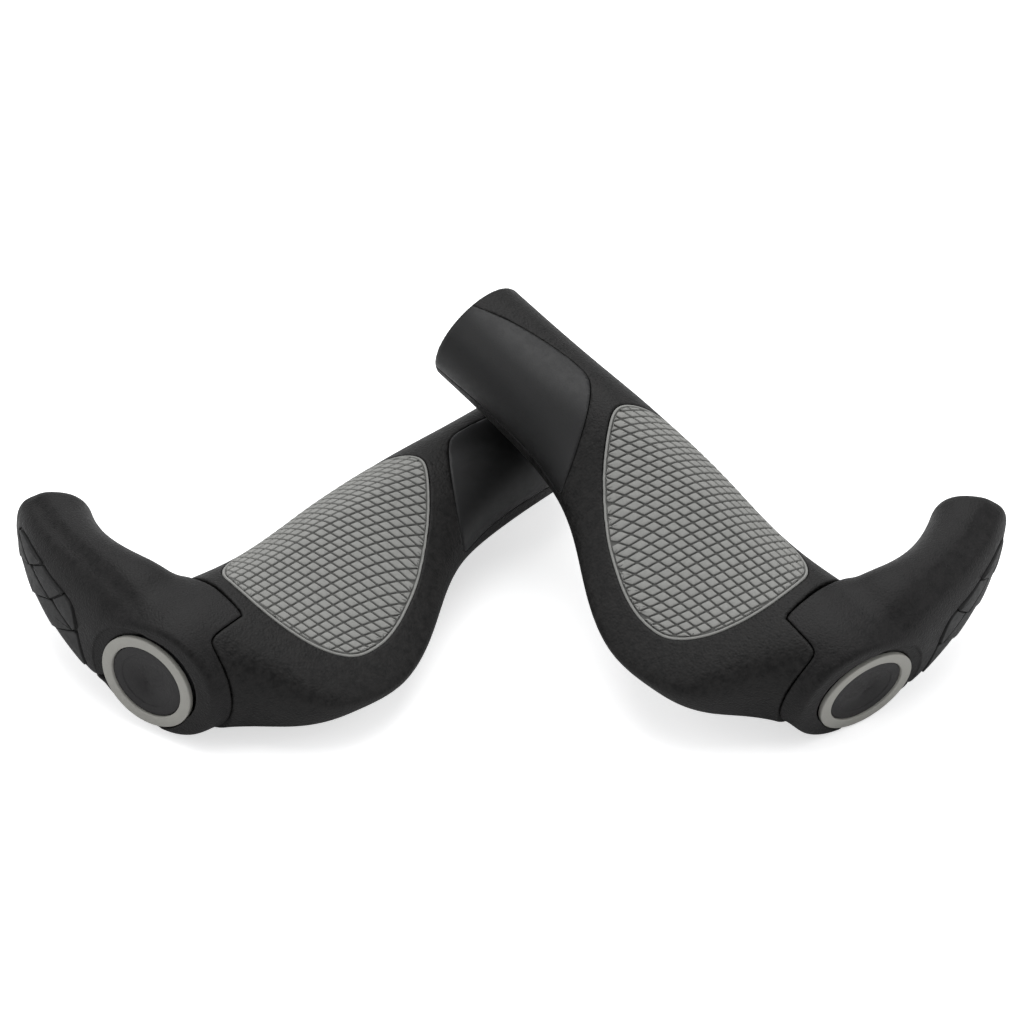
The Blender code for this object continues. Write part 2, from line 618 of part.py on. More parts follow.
out_dir, up_dir = slit_frame()
screw_at = tuple(Vector((SCREW_X, 0, 0)) + out_dir * SCREW_RADIUS_OUT)
SHAPES = (
    ("core", build_core(), (0, 0, 0), CORE_BLACK, 0.5, 0.0),
    ("grip_body", build_grip_body(), (0, 0, 0), RUBBER_BLACK, 0.75, 0.0),
    ("palm_pad", build_pad(), (0, 0, 0), PAD_GREY, 0.7, 0.0),
    ("thumb_sleeve", build_thumb_sleeve(), (0, 0, 0), SLEEVE_BLACK, 0.5, 0.0),
    ("bar_end", build_bar_end(), (0, 0, 0), NYLON_BLACK, 0.6, 0.0),
    ("rib_pad", build_rib_pad(), (0, 0, 0), RIB_BLACK, 0.7, 0.0),
    ("clamp_screw", build_screw(), screw_at, STEEL, 0.35, 1.0),
    ("clamp_washer", build_washer(), screw_at, STEEL, 0.35, 1.0),
    ("clamp_nut", build_nut(), screw_at, STEEL, 0.4, 1.0),
    ("cap_plug", build_cap_plug(), (0, 0, 0), CORE_BLACK, 0.5, 0.0),
    ("cap_ring", build_cap_ring(), CAP_CENTRE, RING_GREY, 0.45, 0.0),
    ("cap_disc", build_cap_disc(), CAP_CENTRE, DISC_BLACK, 0.4, 0.0),
)
for part_name, shape, origin, colour, roughness, metallic in SHAPES:
    place(shape, "left_" + part_name, LEFT, origin, colour, roughness, metallic)
    place(shape, "right_" + part_name, RIGHT, origin, colour, roughness, metallic)
    for c in list(shape.users_collection):
        c.objects.unlink(shape)
    tools.objects.link(shape)
    shape.hide_render = True
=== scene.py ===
"""A pair of handlebar grips, each with a bar-end horn clamped to its outer end.

Each grip is shaped in its own millimetre frame and laid on the left and right swivel joints:
x runs along the bar from the outer end inwards, y forward and z up. The right is mirrored.
Section angles and turns about the bar are 0 forward, 90 degrees up and 180 to the rear.
A solid's field is negative inside it, in about millimetres.
"""

import json
import math
from dataclasses import dataclass

import bpy
import numpy as np
from mathutils import Matrix, Vector


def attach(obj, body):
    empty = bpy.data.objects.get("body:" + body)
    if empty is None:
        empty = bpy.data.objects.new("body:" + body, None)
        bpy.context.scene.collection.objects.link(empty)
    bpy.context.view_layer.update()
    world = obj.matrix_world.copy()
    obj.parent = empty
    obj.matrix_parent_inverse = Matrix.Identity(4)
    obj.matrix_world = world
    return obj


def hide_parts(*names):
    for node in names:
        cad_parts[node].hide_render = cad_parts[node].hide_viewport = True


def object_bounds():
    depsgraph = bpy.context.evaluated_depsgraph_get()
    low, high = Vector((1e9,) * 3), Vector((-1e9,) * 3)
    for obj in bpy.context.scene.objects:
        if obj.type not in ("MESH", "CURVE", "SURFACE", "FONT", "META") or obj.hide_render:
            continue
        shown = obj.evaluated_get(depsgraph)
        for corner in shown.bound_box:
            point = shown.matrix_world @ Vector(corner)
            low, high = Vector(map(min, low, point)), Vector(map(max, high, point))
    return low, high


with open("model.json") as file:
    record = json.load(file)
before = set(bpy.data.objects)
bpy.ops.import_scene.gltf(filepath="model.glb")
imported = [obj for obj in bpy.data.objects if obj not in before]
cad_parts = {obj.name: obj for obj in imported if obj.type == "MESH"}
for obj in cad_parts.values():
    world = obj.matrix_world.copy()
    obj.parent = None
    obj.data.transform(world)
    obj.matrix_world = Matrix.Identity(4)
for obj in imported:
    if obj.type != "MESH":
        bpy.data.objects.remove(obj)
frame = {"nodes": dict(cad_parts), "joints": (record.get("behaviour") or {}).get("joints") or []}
cad_box = [list(map(float, corner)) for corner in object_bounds()]
MM = 0.001
FULL_TURN = 2 * math.pi

# cell sizes of the meshed shells
GRIP_CELL = 0.6
HORN_CELL = 0.42

# ------------------------------------------------------------------ dimensions
# x, front radius, rear reach, rear drop, top flattening, underside flattening
STATION, FRONT_R, REAR_REACH, REAR_DROP, TOP_FLAT, UNDER_FLAT = np.array((
    (-5.0, 13.4, 13.4, 0.0, 0.0, 0.0),
    (0.0, 16.9, 17.2, 0.0, 0.0, 0.0),
    (5.0, 18.5, 19.1, 0.0, 0.0, 0.0),
    (10.0, 18.9, 20.0, -0.2, 0.0, -0.03),
    (22.0, 17.9, 34.1, -2.5, 0.19, -0.17),
    (36.0, 16.1, 41.5, -4.8, 0.41, 0.11),
    (52.0, 15.8, 41.3, -6.3, 0.50, 0.26),
    (68.0, 16.8, 34.9, -4.6, 0.51, 0.30),
    (84.0, 17.2, 25.0, -2.8, 0.43, 0.27),
    (100.0, 17.0, 18.0, -1.2, 0.24, 0.12),
    (118.0, 16.1, 15.6, 0.1, 0.0, 0.03),
    (150.0, 15.2, 15.3, 0.1, 0.0, 0.0),
)).T
GRIP_LENGTH = STATION[-1]
BORE_R, TUBE_R, SHELL_BORE_R = 11.15, 13.0, 13.3

# palm inlay's outline: x, section angle in degrees
PAD_EDGE = (
    (29.3, 74.2), (39.8, 48.5), (55.3, 36.0), (72.2, 31.5), (87.8, 38.8), (97.2, 66.6),
    (98.8, 93.5), (90.0, 124.0), (78.0, 140.2), (63.8, 145.1), (50.1, 145.8), (40.2, 142.3),
    (32.2, 128.2), (28.2, 105.5),
)
# thumb sleeve's edge: x, section angle in degrees
SLEEVE_EDGE = (
    (156, 120), (150.5, 111.5), (144.9, 103), (138, 92.5), (129, 84), (120.9, 79.2),
    (115.2, 78.6), (111.6, 81.6), (108.5, 89.5), (104.4, 105), (100.2, 125.5), (96.9, 146),
    (95.3, 165), (94.9, 177), (96.6, 183.5), (101, 185.8), (107, 186.5), (116, 188),
    (123, 190), (131, 192.5), (142, 196), (156, 200),
)
SLEEVE_CLOSING = ((170.0, math.radians(200)), (170.0, math.radians(118)))  # past the grip's end

# horn: Bezier points of its spine, then half sizes evenly spaced along it
HORN_SPINE = np.array(((12.7, 4.8, -0.5), (10.9, 7.7, 1.4), (1.3, 43.3, 2.7), (25.9, 68.7, 6.6)))
HORN_HALF_WIDTH, HORN_HALF_HEIGHT = np.array((
    (17.0, 18.1), (14.6, 20.4), (11.7, 19.0), (10.7, 13.8), (9.7, 8.8),
)).T
HORN_TWIST = (-0.015, -0.088)  # radians at the root and the tip
HORN_SQUARE, HORN_SQUARE_UNDER = 2.3, 3.6  # section's exponent above and below the spine
HORN_UNDER = 0.80  # height below the spine over that above it
HORN_END_SHARE = 0.943  # where on the spine the tip is cut off
# ribbed insert's outline: share of the spine, angle round the horn in degrees
RIB_EDGE = (
    (0.874, 175), (0.868, 168), (0.848, 162), (0.80, 157.5), (0.72, 157), (0.64, 160.5),
    (0.585, 162.3), (0.54, 164.5), (0.512, 169.5), (0.490, 178), (0.467, 186), (0.447, 197),
    (0.434, 208), (0.442, 217), (0.48, 222), (0.56, 222), (0.65, 218.0), (0.73, 211),
    (0.80, 201), (0.85, 190), (0.870, 182),
)
# line of a soft valley over the horn, from near its tip back to the clamp
CREASE = np.array((
    (15.5, 65, 14.2), (14, 60.5, 15.5), (10.7, 52.5, 16.6), (7.8, 42.5, 18.2), (4.9, 30, 19.6),
    (3.6, 20, 19.3), (3.0, 11.5, 18.4), (3.0, 6, 17.6),
))
CREASE_DEPTH, CREASE_WIDTH = 1.05, 2.3

CAP_CENTRE = np.array((0.0, 2.7, -2.4))
CAP_WAY = (-1.0, -0.206, 0.020)
CAP_NORMAL = np.array(CAP_WAY) / np.linalg.norm(CAP_WAY)
LEDGE_R, LEDGE_FORWARD, LEDGE_UP = 15.8, 1.9, 0.3  # flat round the cap, shifted from its centre
SEAT_R, SEAT_DEPTH = 14.25, 2.9


def turned(angle):
    """Unit vectors out from the bar at an angle in degrees, and square to it."""
    cos, sin = math.cos(math.radians(angle)), math.sin(math.radians(angle))
    return np.array((0, cos, sin)), np.array((0, -sin, cos))


SLIT_OUT, SLIT_ACROSS = turned(-26.0)
SLIT_HALF, SLIT_START = 0.8, 10.5
SCREW_AT = np.array((5.7, 0, 0)) + SLIT_OUT * 18.2
# round pockets on the screw's line: radius, from, to, rounding
SCREW_POCKETS = ((2.3, -20, 12.2, 0.2), (4.1, -24, -4.2, 0.3))
NUT_ACROSS, NUT_INWARD = 6.2, 3.5  # nut pocket's centre from the screw's
NUT_HALF_X, NUT_HALF_OUT, NUT_HALF_ACROSS = 3.8, 7.3, 1.9
LOBE_OUT, LOBE_ACROSS = turned(-41.0)
LOBE_AXES = np.array(((1, 0, 0), LOBE_OUT, LOBE_ACROSS))
LOBE_AT = np.array((4.4, 0, 0)) + LOBE_OUT * 16.2
LOBE_HALF = np.array((6.6, 6.8, 7.4))

# a field's slope is taken over this distance
SLOPE_STEP = 0.04
SLOPE_OFFSETS = np.eye(3) * SLOPE_STEP


# ------------------------------------------------------------------ where each grip lies
def side_frame(side):
    """Place in millimetres, and rows of the axes x, y and z, of one side's grip."""
    joint = next(joint for joint in frame["joints"] if joint["name"] == side + "_swivel")
    bar = np.array(joint["axis"], float)
    bar /= np.linalg.norm(bar)
    up = np.array([0, 0, 1.0]) - bar * bar[2]
    up /= np.linalg.norm(up)
    forward = np.cross(up, bar) if side == "left" else np.cross(bar, up)
    return np.array(joint["pos_m"], float) / MM, np.stack([bar, forward, up])


SIDES = {side: side_frame(side) for side in ("left", "right")}


# ------------------------------------------------------------------ curves and blends
def natural_spline(knots, values, x):
    """Natural cubic spline through values at knots."""
    count, gaps = len(knots), np.diff(knots)
    matrix, right = np.zeros((count, count)), np.zeros(count)
    matrix[0, 0] = matrix[-1, -1] = 1
    for i in range(1, count - 1):
        matrix[i, i - 1 : i + 2] = gaps[i - 1], 2 * (gaps[i - 1] + gaps[i]), gaps[i]
        rise, last_rise = values[i + 1] - values[i], values[i] - values[i - 1]
        right[i] = 6 * (rise / gaps[i] - last_rise / gaps[i - 1])
    bend = np.linalg.solve(matrix, right)
    x = np.clip(x, knots[0], knots[-1])
    i = np.clip(np.searchsorted(knots, x) - 1, 0, count - 2)
    ahead, behind, gap = knots[i + 1] - x, x - knots[i], gaps[i]
    return (
        bend[i] * ahead**3 / (6 * gap)
        + bend[i + 1] * behind**3 / (6 * gap)
        + (values[i] / gap - bend[i] * gap / 6) * ahead
        + (values[i + 1] / gap - bend[i + 1] * gap / 6) * behind
    )


def ring_spline(values, count):
    """Closed Catmull-Rom curve through values, at count places."""
    values = np.asarray(values, float)
    size = len(values)
    place = np.arange(count) * size / count
    i, part = np.floor(place).astype(int), (place % 1)[:, None]
    before, here, after, beyond = (values[(i + k) % size] for k in (-1, 0, 1, 2))
    return 0.5 * (
        2 * here
        + (after - before) * part
        + (2 * before - 5 * here + 4 * after - beyond) * part**2
        + (3 * here - before - 3 * after + beyond) * part**3
    )


def round_corners(line):
    """An open line with its corners cut twice."""
    line = np.asarray(line, float)
    for _ in range(2):
        cut = [line[0]]
        for start, end in zip(line[:-1], line[1:]):
            cut += [start * 0.75 + end * 0.25, start * 0.25 + end * 0.75]
        line = np.array(cut + [line[-1]])
    return line


def soft_min(first, second, blend):
    overlap = np.maximum(blend - np.abs(first - second), 0) / blend
    return np.minimum(first, second) - overlap * overlap * blend * 0.25


def soft_max(first, second, blend):
    return -soft_min(-first, -second, blend)


def bell(value, centre, width):
    return np.exp(-(((value - centre) / width) ** 2))


def bilinear(table, row, column):
    """Table value between its entries."""
    i = np.minimum(row.astype(int), table.shape[0] - 2)
    j = np.minimum(column.astype(int), table.shape[1] - 2)
    down, right = row - i, column - j
    return (
        table[i, j] * (1 - down) * (1 - right)
        + table[i + 1, j] * down * (1 - right)
        + table[i, j + 1] * (1 - down) * right
        + table[i + 1, j + 1] * down * right
    )


def crosses_below(start, end, x, y):
    """Where the edge from start to end passes y on the +x side."""
    (x0, y0), (x1, y1) = start, end
    if y1 == y0:
        return np.zeros(x.shape, bool)
    return ((y0 > y) != (y1 > y)) & (x < x0 + (y - y0) / (y1 - y0) * (x1 - x0))


# ------------------------------------------------------------------ the grip's skin
def grip_point(x, angle):
    x, angle = np.broadcast_arrays(np.asarray(x, float), np.asarray(angle, float))
    front, rear, drop, top, under = (
        natural_spline(STATION, column, x)
        for column in (FRONT_R, REAR_REACH, REAR_DROP, TOP_FLAT, UNDER_FLAT)
    )
    cos, sin = np.cos(angle), np.sin(angle)
    back = np.clip(-cos, 0, None)
    y = np.where(cos >= 0, front * cos, -(front * back + (rear - front) * back**1.35))
    flat = np.where(sin >= 0, top, under)
    z = front * sin * (1 - flat * back**1.2) + drop * back**1.8
    return np.stack([x, y, z], -1)


# tables over the skin: rows along x, columns by turn about the bar
STEP_X, STEP_TURN = 0.5, math.radians(0.5)
TABLE_X = np.arange(-8.0, 152.01, STEP_X)
TABLE_TURN = np.arange(721) * STEP_TURN


def radius_tables():
    """The skin's radius, and what turns radial distance into distance from the skin."""
    around = np.linspace(0, FULL_TURN, 1441)[:-1]
    radius = np.empty((len(TABLE_X), len(TABLE_TURN)))
    for i, x in enumerate(TABLE_X):
        _, y, z = grip_point(np.full(around.shape, x), around).T
        turn = np.arctan2(z, y) % FULL_TURN
        radius[i] = np.interp(TABLE_TURN, turn, np.hypot(y, z), period=FULL_TURN)
    slope_x = np.gradient(radius, STEP_X, axis=0)
    once = radius[:, :-1]
    slope_turn = (np.roll(once, -1, 1) - np.roll(once, 1, 1)) / (2 * STEP_TURN)
    slope_turn = np.concatenate([slope_turn, slope_turn[:, :1]], 1)
    return radius, 1 / np.sqrt(1 + slope_x**2 + (slope_turn / radius) ** 2)


SKIN_R, SKIN_LEAN = radius_tables()


def look_up(table, x, turn):
    row = np.clip((x - TABLE_X[0]) / STEP_X, 0, len(TABLE_X) - 1.001)
    return bilinear(table, row, (turn % FULL_TURN) / STEP_TURN)


def outline_table(line, closed=True):
    """Distance on the skin to a line of (x, turn): signed, positive inside, if it is closed."""
    line = np.asarray(line, float)
    ends = np.roll(line, -1, 0) if closed else line[1:]
    starts = line if closed else line[:-1]
    x, turn = np.meshgrid(TABLE_X, TABLE_TURN, indexing="ij")
    best = np.full(x.shape, 1e9)
    inside = np.zeros(x.shape, bool)
    for (x0, turn0), (x1, turn1) in zip(starts, ends):
        for lap in (-FULL_TURN, 0.0, FULL_TURN):
            if min(turn0, turn1) + lap > FULL_TURN + 1.5 or max(turn0, turn1) + lap < -1.5:
                continue
            edge_x, edge_y = x1 - x0, (turn1 - turn0) * SKIN_R
            from_x, from_y = x - x0, (turn - turn0 - lap) * SKIN_R
            along = from_x * edge_x + from_y * edge_y
            share = np.clip(along / np.maximum(edge_x * edge_x + edge_y * edge_y, 1e-9), 0, 1)
            gap = (from_x - share * edge_x) ** 2 + (from_y - share * edge_y) ** 2
            best = np.minimum(best, gap)
            if closed:
                inside ^= crosses_below((x0, turn0 + lap), (x1, turn1 + lap), x, turn)
    distance = np.sqrt(best)
    return np.where(inside, distance, -distance) if closed else distance


def to_turns(line):
    """(x, section angle in degrees) to (x, turn in radians), unwrapped along the line."""
    line = np.asarray(line, float)
    angle = np.radians(line[:, 1])
    _, y, z = grip_point(line[:, 0], angle).T
    turn = np.arctan2(z, y)
    turn += FULL_TURN * np.round((angle - turn) / FULL_TURN)
    return np.stack([line[:, 0], turn], -1)


def seam_line(step_from, step_to):
    """Bar end's edge all round (x, degrees): a tongue over the top and front, and a neck."""
    return (
        (10.3, -139), (10.2, -98), (10.2, step_from - 1.5), (10.6, step_from),
        (22.6, step_to), (23.1, step_to + 2),
        (23.3, -20), (23.35, 10), (23.35, 46), (23.3, 70), (23.2, 90), (23.1, 103),
        (22.85, 108.5), (22.3, 111.2), (19.2, 114.0), (16.5, 117.2), (14.2, 120.3),
        (12.2, 123.4), (10.9, 125.8), (10.1, 128.2), (9.6, 131.5), (9.4, 136), (9.35, 144),
        (9.45, 158), (9.7, 177), (10.0, 197), (10.3, 221),
    )


def seam_table(line):
    """Distance to the seam, positive on its inner side along x."""
    line = to_turns(line)
    distance = outline_table(line, closed=False)
    turn = (TABLE_TURN + math.pi * 3) % FULL_TURN - math.pi
    knots = np.concatenate([line[:, 1] - FULL_TURN, line[:, 1], line[:, 1] + FULL_TURN])
    edge = np.interp(turn, knots, np.tile(line[:, 0], 3))
    return np.where(TABLE_X[:, None] > edge[None, :], distance, -distance)


HORN_SEAM = seam_table(seam_line(step_from=-44.0, step_to=-38.5))
BODY_SEAM = seam_table(seam_line(step_from=-58.0, step_to=-53.0))
SLEEVE = outline_table(np.concatenate([to_turns(round_corners(SLEEVE_EDGE)), SLEEVE_CLOSING]))
PAD_OUTLINE = ring_spline(PAD_EDGE, 200)
PAD = outline_table(to_turns(PAD_OUTLINE))


# ------------------------------------------------------------------ the grip body and sleeve
def cylindrical(points):
    """x, radius and turn about the bar."""
    x, y, z = points.T
    return x, np.hypot(y, z), np.arctan2(z, y)


def skin_field(x, radius, turn):
    return (radius - look_up(SKIN_R, x, turn)) * look_up(SKIN_LEAN, x, turn)


def seam_widening(x, turn):
    """Extra gap at the tongue's edge, 1 at its top front."""
    return np.clip((x - 21.0) / 1.5, 0, 1) * bell(np.degrees(turn), 75, 38)


def sleeve_fade(x):
    """The sleeve's joint narrows towards the inner end."""
    return np.clip((149.0 - x) / 8.0, 0.12, 1.0)


def cut_inner_end(solid, x):
    return soft_max(solid, x - (GRIP_LENGTH - 0.25), 1.3)


def grip_body_field(points):
    x, radius, turn = cylindrical(points)
    seam, sleeve, pad = (look_up(table, x, turn) for table in (BODY_SEAM, SLEEVE, PAD))
    around = np.degrees(turn) % 360
    # the wing's lower corner stands a little proud of the clamp
    skin = skin_field(x, radius, turn) - 0.9 * bell(x, 10, 7) * bell(around, 216, 20)
    gap = 0.16 + 0.42 * seam_widening(x, turn) + 0.22 * bell(around, 172, 30)
    fade = sleeve_fade(x)
    solid = cut_inner_end(skin, x)
    solid = soft_max(solid, gap - seam, 0.6)
    solid = soft_max(solid, sleeve + 0.10 * fade, 0.26 * fade)
    # the palm inlay's pocket
    solid = soft_max(solid, np.minimum(pad + 0.22, skin + 1.85), 0.3)
    return soft_max(solid, SHELL_BORE_R - radius, 0.3)


def sleeve_field(points):
    x, radius, turn = cylindrical(points)
    fade = sleeve_fade(x)
    solid = cut_inner_end(skin_field(x, radius, turn), x)
    solid = soft_max(solid, 0.10 * fade - look_up(SLEEVE, x, turn), 0.26 * fade)
    return soft_max(solid, SHELL_BORE_R - radius, 0.3)


# ------------------------------------------------------------------ the horn's skin
def spine_at(share):
    share = share[..., None]
    rest = 1 - share
    root, leave, arrive, tip = HORN_SPINE
    return (
        rest**3 * root + 3 * rest**2 * share * leave + 3 * rest * share**2 * arrive
        + share**3 * tip
    )


def spine_way(share):
    """The spine's change with its share, not of unit length."""
    share = share[..., None]
    rest = 1 - share
    root, leave, arrive, tip = HORN_SPINE
    return (
        3 * rest**2 * (leave - root) + 6 * rest * share * (arrive - leave)
        + 3 * share**2 * (tip - arrive)
    )


SPINE_SHARES = np.linspace(0, 1, 401)
HALF_WIDTHS, HALF_HEIGHTS = (
    natural_spline(np.linspace(0, 1, 5), halves, SPINE_SHARES)
    for halves in (HORN_HALF_WIDTH, HORN_HALF_HEIGHT)
)
SEARCH_SHARES = np.linspace(0.10, 0.995, 150)
SEARCH_AT = spine_at(SEARCH_SHARES)
HORN_END = spine_at(np.array(HORN_END_SHARE))
HORN_END_WAY = spine_way(np.array(1.0)) / np.linalg.norm(spine_way(np.array(1.0)))


def horn_half_sizes(share):
    return (np.interp(share, SPINE_SHARES, halves) for halves in (HALF_WIDTHS, HALF_HEIGHTS))


def horn_axes(share):
    """Unit vectors across (towards +x) and up, square to the spine."""
    way = spine_way(share)
    way /= np.linalg.norm(way, axis=-1, keepdims=True)
    up = np.array([0, 0, 1.0]) - way * way[..., 2:3]
    up /= np.linalg.norm(up, axis=-1, keepdims=True)
    side = np.cross(way, up)
    twist = (HORN_TWIST[0] * (1 - share) + HORN_TWIST[1] * share)[..., None]
    cos, sin = np.cos(twist), np.sin(twist)
    return side * cos + up * sin, -side * sin + up * cos


def horn_point(share, angle):
    share, angle = np.broadcast_arrays(np.asarray(share, float), np.asarray(angle, float))
    side, up = horn_axes(share)
    half_width, half_height = horn_half_sizes(share)
    cos, sin = np.cos(angle), np.sin(angle)
    power = np.where(sin >= 0, 2 / HORN_SQUARE, 2 / HORN_SQUARE_UNDER)
    across = np.sign(cos) * np.abs(cos) ** power
    above = np.sign(sin) * np.abs(sin) ** power * np.where(sin >= 0, 1.0, HORN_UNDER)
    at = spine_at(share) + side * (half_width * across)[..., None]
    return at + up * (half_height * above)[..., None]


def horn_local(points):
    """Spine share, ratios across and above to the half sizes, power, mean size, overshoot."""
    gaps = -2 * points @ SEARCH_AT.T + (SEARCH_AT**2).sum(1)[None, :]
    nearest = SEARCH_SHARES[np.argmin(gaps, axis=1)]
    low, high = np.maximum(nearest - 0.012, 0.09), np.minimum(nearest + 0.012, 0.9995)
    share = nearest
    for _ in range(2):
        way = spine_way(share)
        share = share + ((points - spine_at(share)) * way).sum(-1) / (way**2).sum(-1)
        share = np.clip(share, low, high)
    side, up = horn_axes(share)
    offset = points - spine_at(share)
    half_width, half_height = horn_half_sizes(share)
    across, above = (offset * side).sum(-1), (offset * up).sum(-1)
    power = np.where(above >= 0, HORN_SQUARE, HORN_SQUARE_UNDER)
    half_height = np.where(above >= 0, half_height, half_height * HORN_UNDER)
    way = spine_way(share)
    beyond = (offset * way).sum(-1) / np.sqrt((way**2).sum(-1))
    size = np.sqrt(half_width * half_height)
    return share, across / half_width, above / half_height, power, size, beyond


def horn_raw(points):
    """Zero on the horn's skin, with an uneven slope."""
    _, across, above, power, size, beyond = horn_local(points)
    ratio = (np.abs(across) ** power + np.abs(above) ** power + 1e-9) ** (1 / power) - 1
    return ratio * size + np.maximum(np.abs(beyond) - 0.15, 0) * 0.8


def horn_place(points):
    """How upright from the spine (0 to 1), share of the spine, and angle round it."""
    share, across, above, power, _, _ = horn_local(points)
    upright = above**2 / (across**2 + above**2 + 1e-9)
    rise = np.sign(above) * np.abs(above) ** (power / 2)
    run = np.sign(across) * np.abs(across) ** (power / 2)
    return upright, share, np.arctan2(rise, run)


def evened(field, points):
    """Field value over its slope."""
    base = field(points)
    slope = np.stack([(field(points + step) - base) / SLOPE_STEP for step in SLOPE_OFFSETS], -1)
    return base / np.maximum(np.linalg.norm(slope, axis=-1), 0.25)


def to_line(points, line):
    """Distance to a line in space, and the share of it passed."""
    best = np.full(len(points), 1e9)
    along = np.zeros(len(points))
    for i, (start, end) in enumerate(zip(line[:-1], line[1:])):
        edge = end - start
        share = np.clip(((points - start) @ edge) / (edge @ edge), 0, 1)
        gap = ((points - start - share[:, None] * edge) ** 2).sum(1)
        along = np.where(gap < best, i + share, along)
        best = np.minimum(best, gap)
    return np.sqrt(best), along / (len(line) - 1)


# ------------------------------------------------------------------ the ribbed insert's outline
RIB_SHARES, RIB_ANGLES = np.linspace(0.25, 1.0, 151), np.radians(np.linspace(90, 270, 181))


def rib_outline(count):
    line = ring_spline(RIB_EDGE, count)
    return np.stack([line[:, 0], np.radians(line[:, 1])], 1)


def rib_table():
    """Distance to the outline over the horn, positive inside it."""
    line = rib_outline(96)
    edge = horn_point(line[:, 0], line[:, 1])
    share, angle = np.meshgrid(RIB_SHARES, RIB_ANGLES, indexing="ij")
    points = horn_point(share, angle).reshape(-1, 3)
    distance, _ = to_line(points, np.concatenate([edge, edge[:1]]))
    inside = np.zeros(share.shape, bool)
    for start, end in zip(line, np.roll(line, -1, 0)):
        inside ^= crosses_below(start, end, share, angle)
    return np.where(inside, 1, -1) * distance.reshape(share.shape)


RIB = rib_table()


def rib_distance(share, angle):
    row = (share - RIB_SHARES[0]) / (RIB_SHARES[1] - RIB_SHARES[0])
    column = (angle % FULL_TURN - RIB_ANGLES[0]) / (RIB_ANGLES[1] - RIB_ANGLES[0])
    last = len(RIB_ANGLES) - 1.001
    off = (column < 0) | (column > last)
    row = np.clip(row, 0, len(RIB_SHARES) - 1.001)
    return np.where(off, -20.0, bilinear(RIB, row, np.clip(column, 0, last)))


# ------------------------------------------------------------------ the bar end
def horn_fields(points):
    """Horn's field, uprightness, share and angle; the rear, clear of it, is skipped."""
    count = len(points)
    horn, upright = np.full(count, 30.0), np.zeros(count)
    share, angle = np.zeros(count), np.zeros(count)
    near = ~(points[:, 1] < -6.0)
    close = points[near]
    if len(close):
        horn[near] = soft_max(evened(horn_raw, close), (close - HORN_END) @ HORN_END_WAY, 4.2)
        upright[near], share[near], angle[near] = horn_place(close)
    return horn, upright, share, angle


def horn_and_clamp(points, skin):
    horn, upright, share, angle = horn_fields(points)
    # the horn rises gently out of the clamp's round top and underside
    risen = np.clip((share - 0.10) / 0.32, 0, 1)
    risen = risen * risen * (3 - 2 * risen)
    solid = soft_min(skin, horn + 3.6 * (1 - risen) * upright, 4.5)
    # lobe at the lower front
    lobe = np.linalg.norm(((points - LOBE_AT) @ LOBE_AXES.T) / LOBE_HALF, axis=1) - 1
    solid = soft_min(solid, lobe * LOBE_HALF[0], 2.5)
    # valley between the palm face and the outer flank
    distance, along = to_line(points, CREASE)
    depth = CREASE_DEPTH * np.interp(along, (0, 0.25, 0.75, 1.0), (0.5, 1.0, 0.9, 0.0))
    solid = solid + depth * bell(distance, 0, CREASE_WIDTH)
    # ribbed insert's pocket
    pocket = np.minimum(rib_distance(share, angle) + 0.28, horn + 1.9)
    return soft_max(solid, pocket, 0.3)


def cut_outer_end(solid, points):
    """A shoulder, a flat ledge wider towards the horn, and the cap's seat."""
    offset = points - CAP_CENTRE
    plane = offset @ CAP_NORMAL
    solid = soft_max(solid, plane - 0.55, 1.4)
    ledge = LEDGE_R - np.hypot(offset[:, 1] - LEDGE_FORWARD, offset[:, 2] - LEDGE_UP)
    solid = soft_max(solid, np.minimum(plane + 0.45, ledge), 0.3)
    seat = SEAT_R - np.hypot(offset[:, 1], offset[:, 2])
    return soft_max(solid, np.minimum(plane + SEAT_DEPTH, seat), 0.25)


def cut_seam(solid, x, radius, turn):
    """The edge towards the grip body."""
    gap = 0.08 + 0.2 * seam_widening(x, turn)
    reach = np.where(np.abs(np.degrees(turn)) < 62, 21.5, 70.0)
    seam = look_up(HORN_SEAM, x, turn) + gap
    return soft_max(solid, soft_min(seam, reach - radius, 0.8), 0.6)


def cut_clamp(solid, points):
    """Slit, screw hole, and pockets for the screw's head and the nut."""
    slit = SLIT_HALF - np.abs(points @ SLIT_ACROSS)
    solid = soft_max(solid, np.minimum(slit, points @ SLIT_OUT - SLIT_START), 0.3)
    offset = points - SCREW_AT
    along = offset @ SLIT_ACROSS
    aside = np.linalg.norm(offset - along[:, None] * SLIT_ACROSS, axis=1)
    for size, low, high, blend in SCREW_POCKETS:
        hole = np.minimum(size - aside, np.minimum(along - low, high - along))
        solid = soft_max(solid, hole, blend)
    offset = offset - SLIT_ACROSS * NUT_ACROSS + SLIT_OUT * NUT_INWARD
    nut = np.minimum(NUT_HALF_X - np.abs(offset[:, 0]), NUT_HALF_OUT - np.abs(offset @ SLIT_OUT))
    nut = np.minimum(nut, NUT_HALF_ACROSS - np.abs(offset @ SLIT_ACROSS))
    return soft_max(solid, nut, 0.2)


def bar_end_field(points):
    x, radius, turn = cylindrical(points)
    solid = horn_and_clamp(points, skin_field(x, radius, turn))
    solid = cut_outer_end(solid, points)
    solid = cut_seam(solid, x, radius, turn)
    solid = soft_max(solid, SHELL_BORE_R - radius, 0.25)
    return cut_clamp(solid, points)


# ------------------------------------------------------------------ meshing
COARSE = 4  # grid steps between the first samples


def in_chunks(field, points, size=150000):
    if not len(points):
        return np.zeros(0)
    return np.concatenate([field(points[i : i + size]) for i in range(0, len(points), size)])


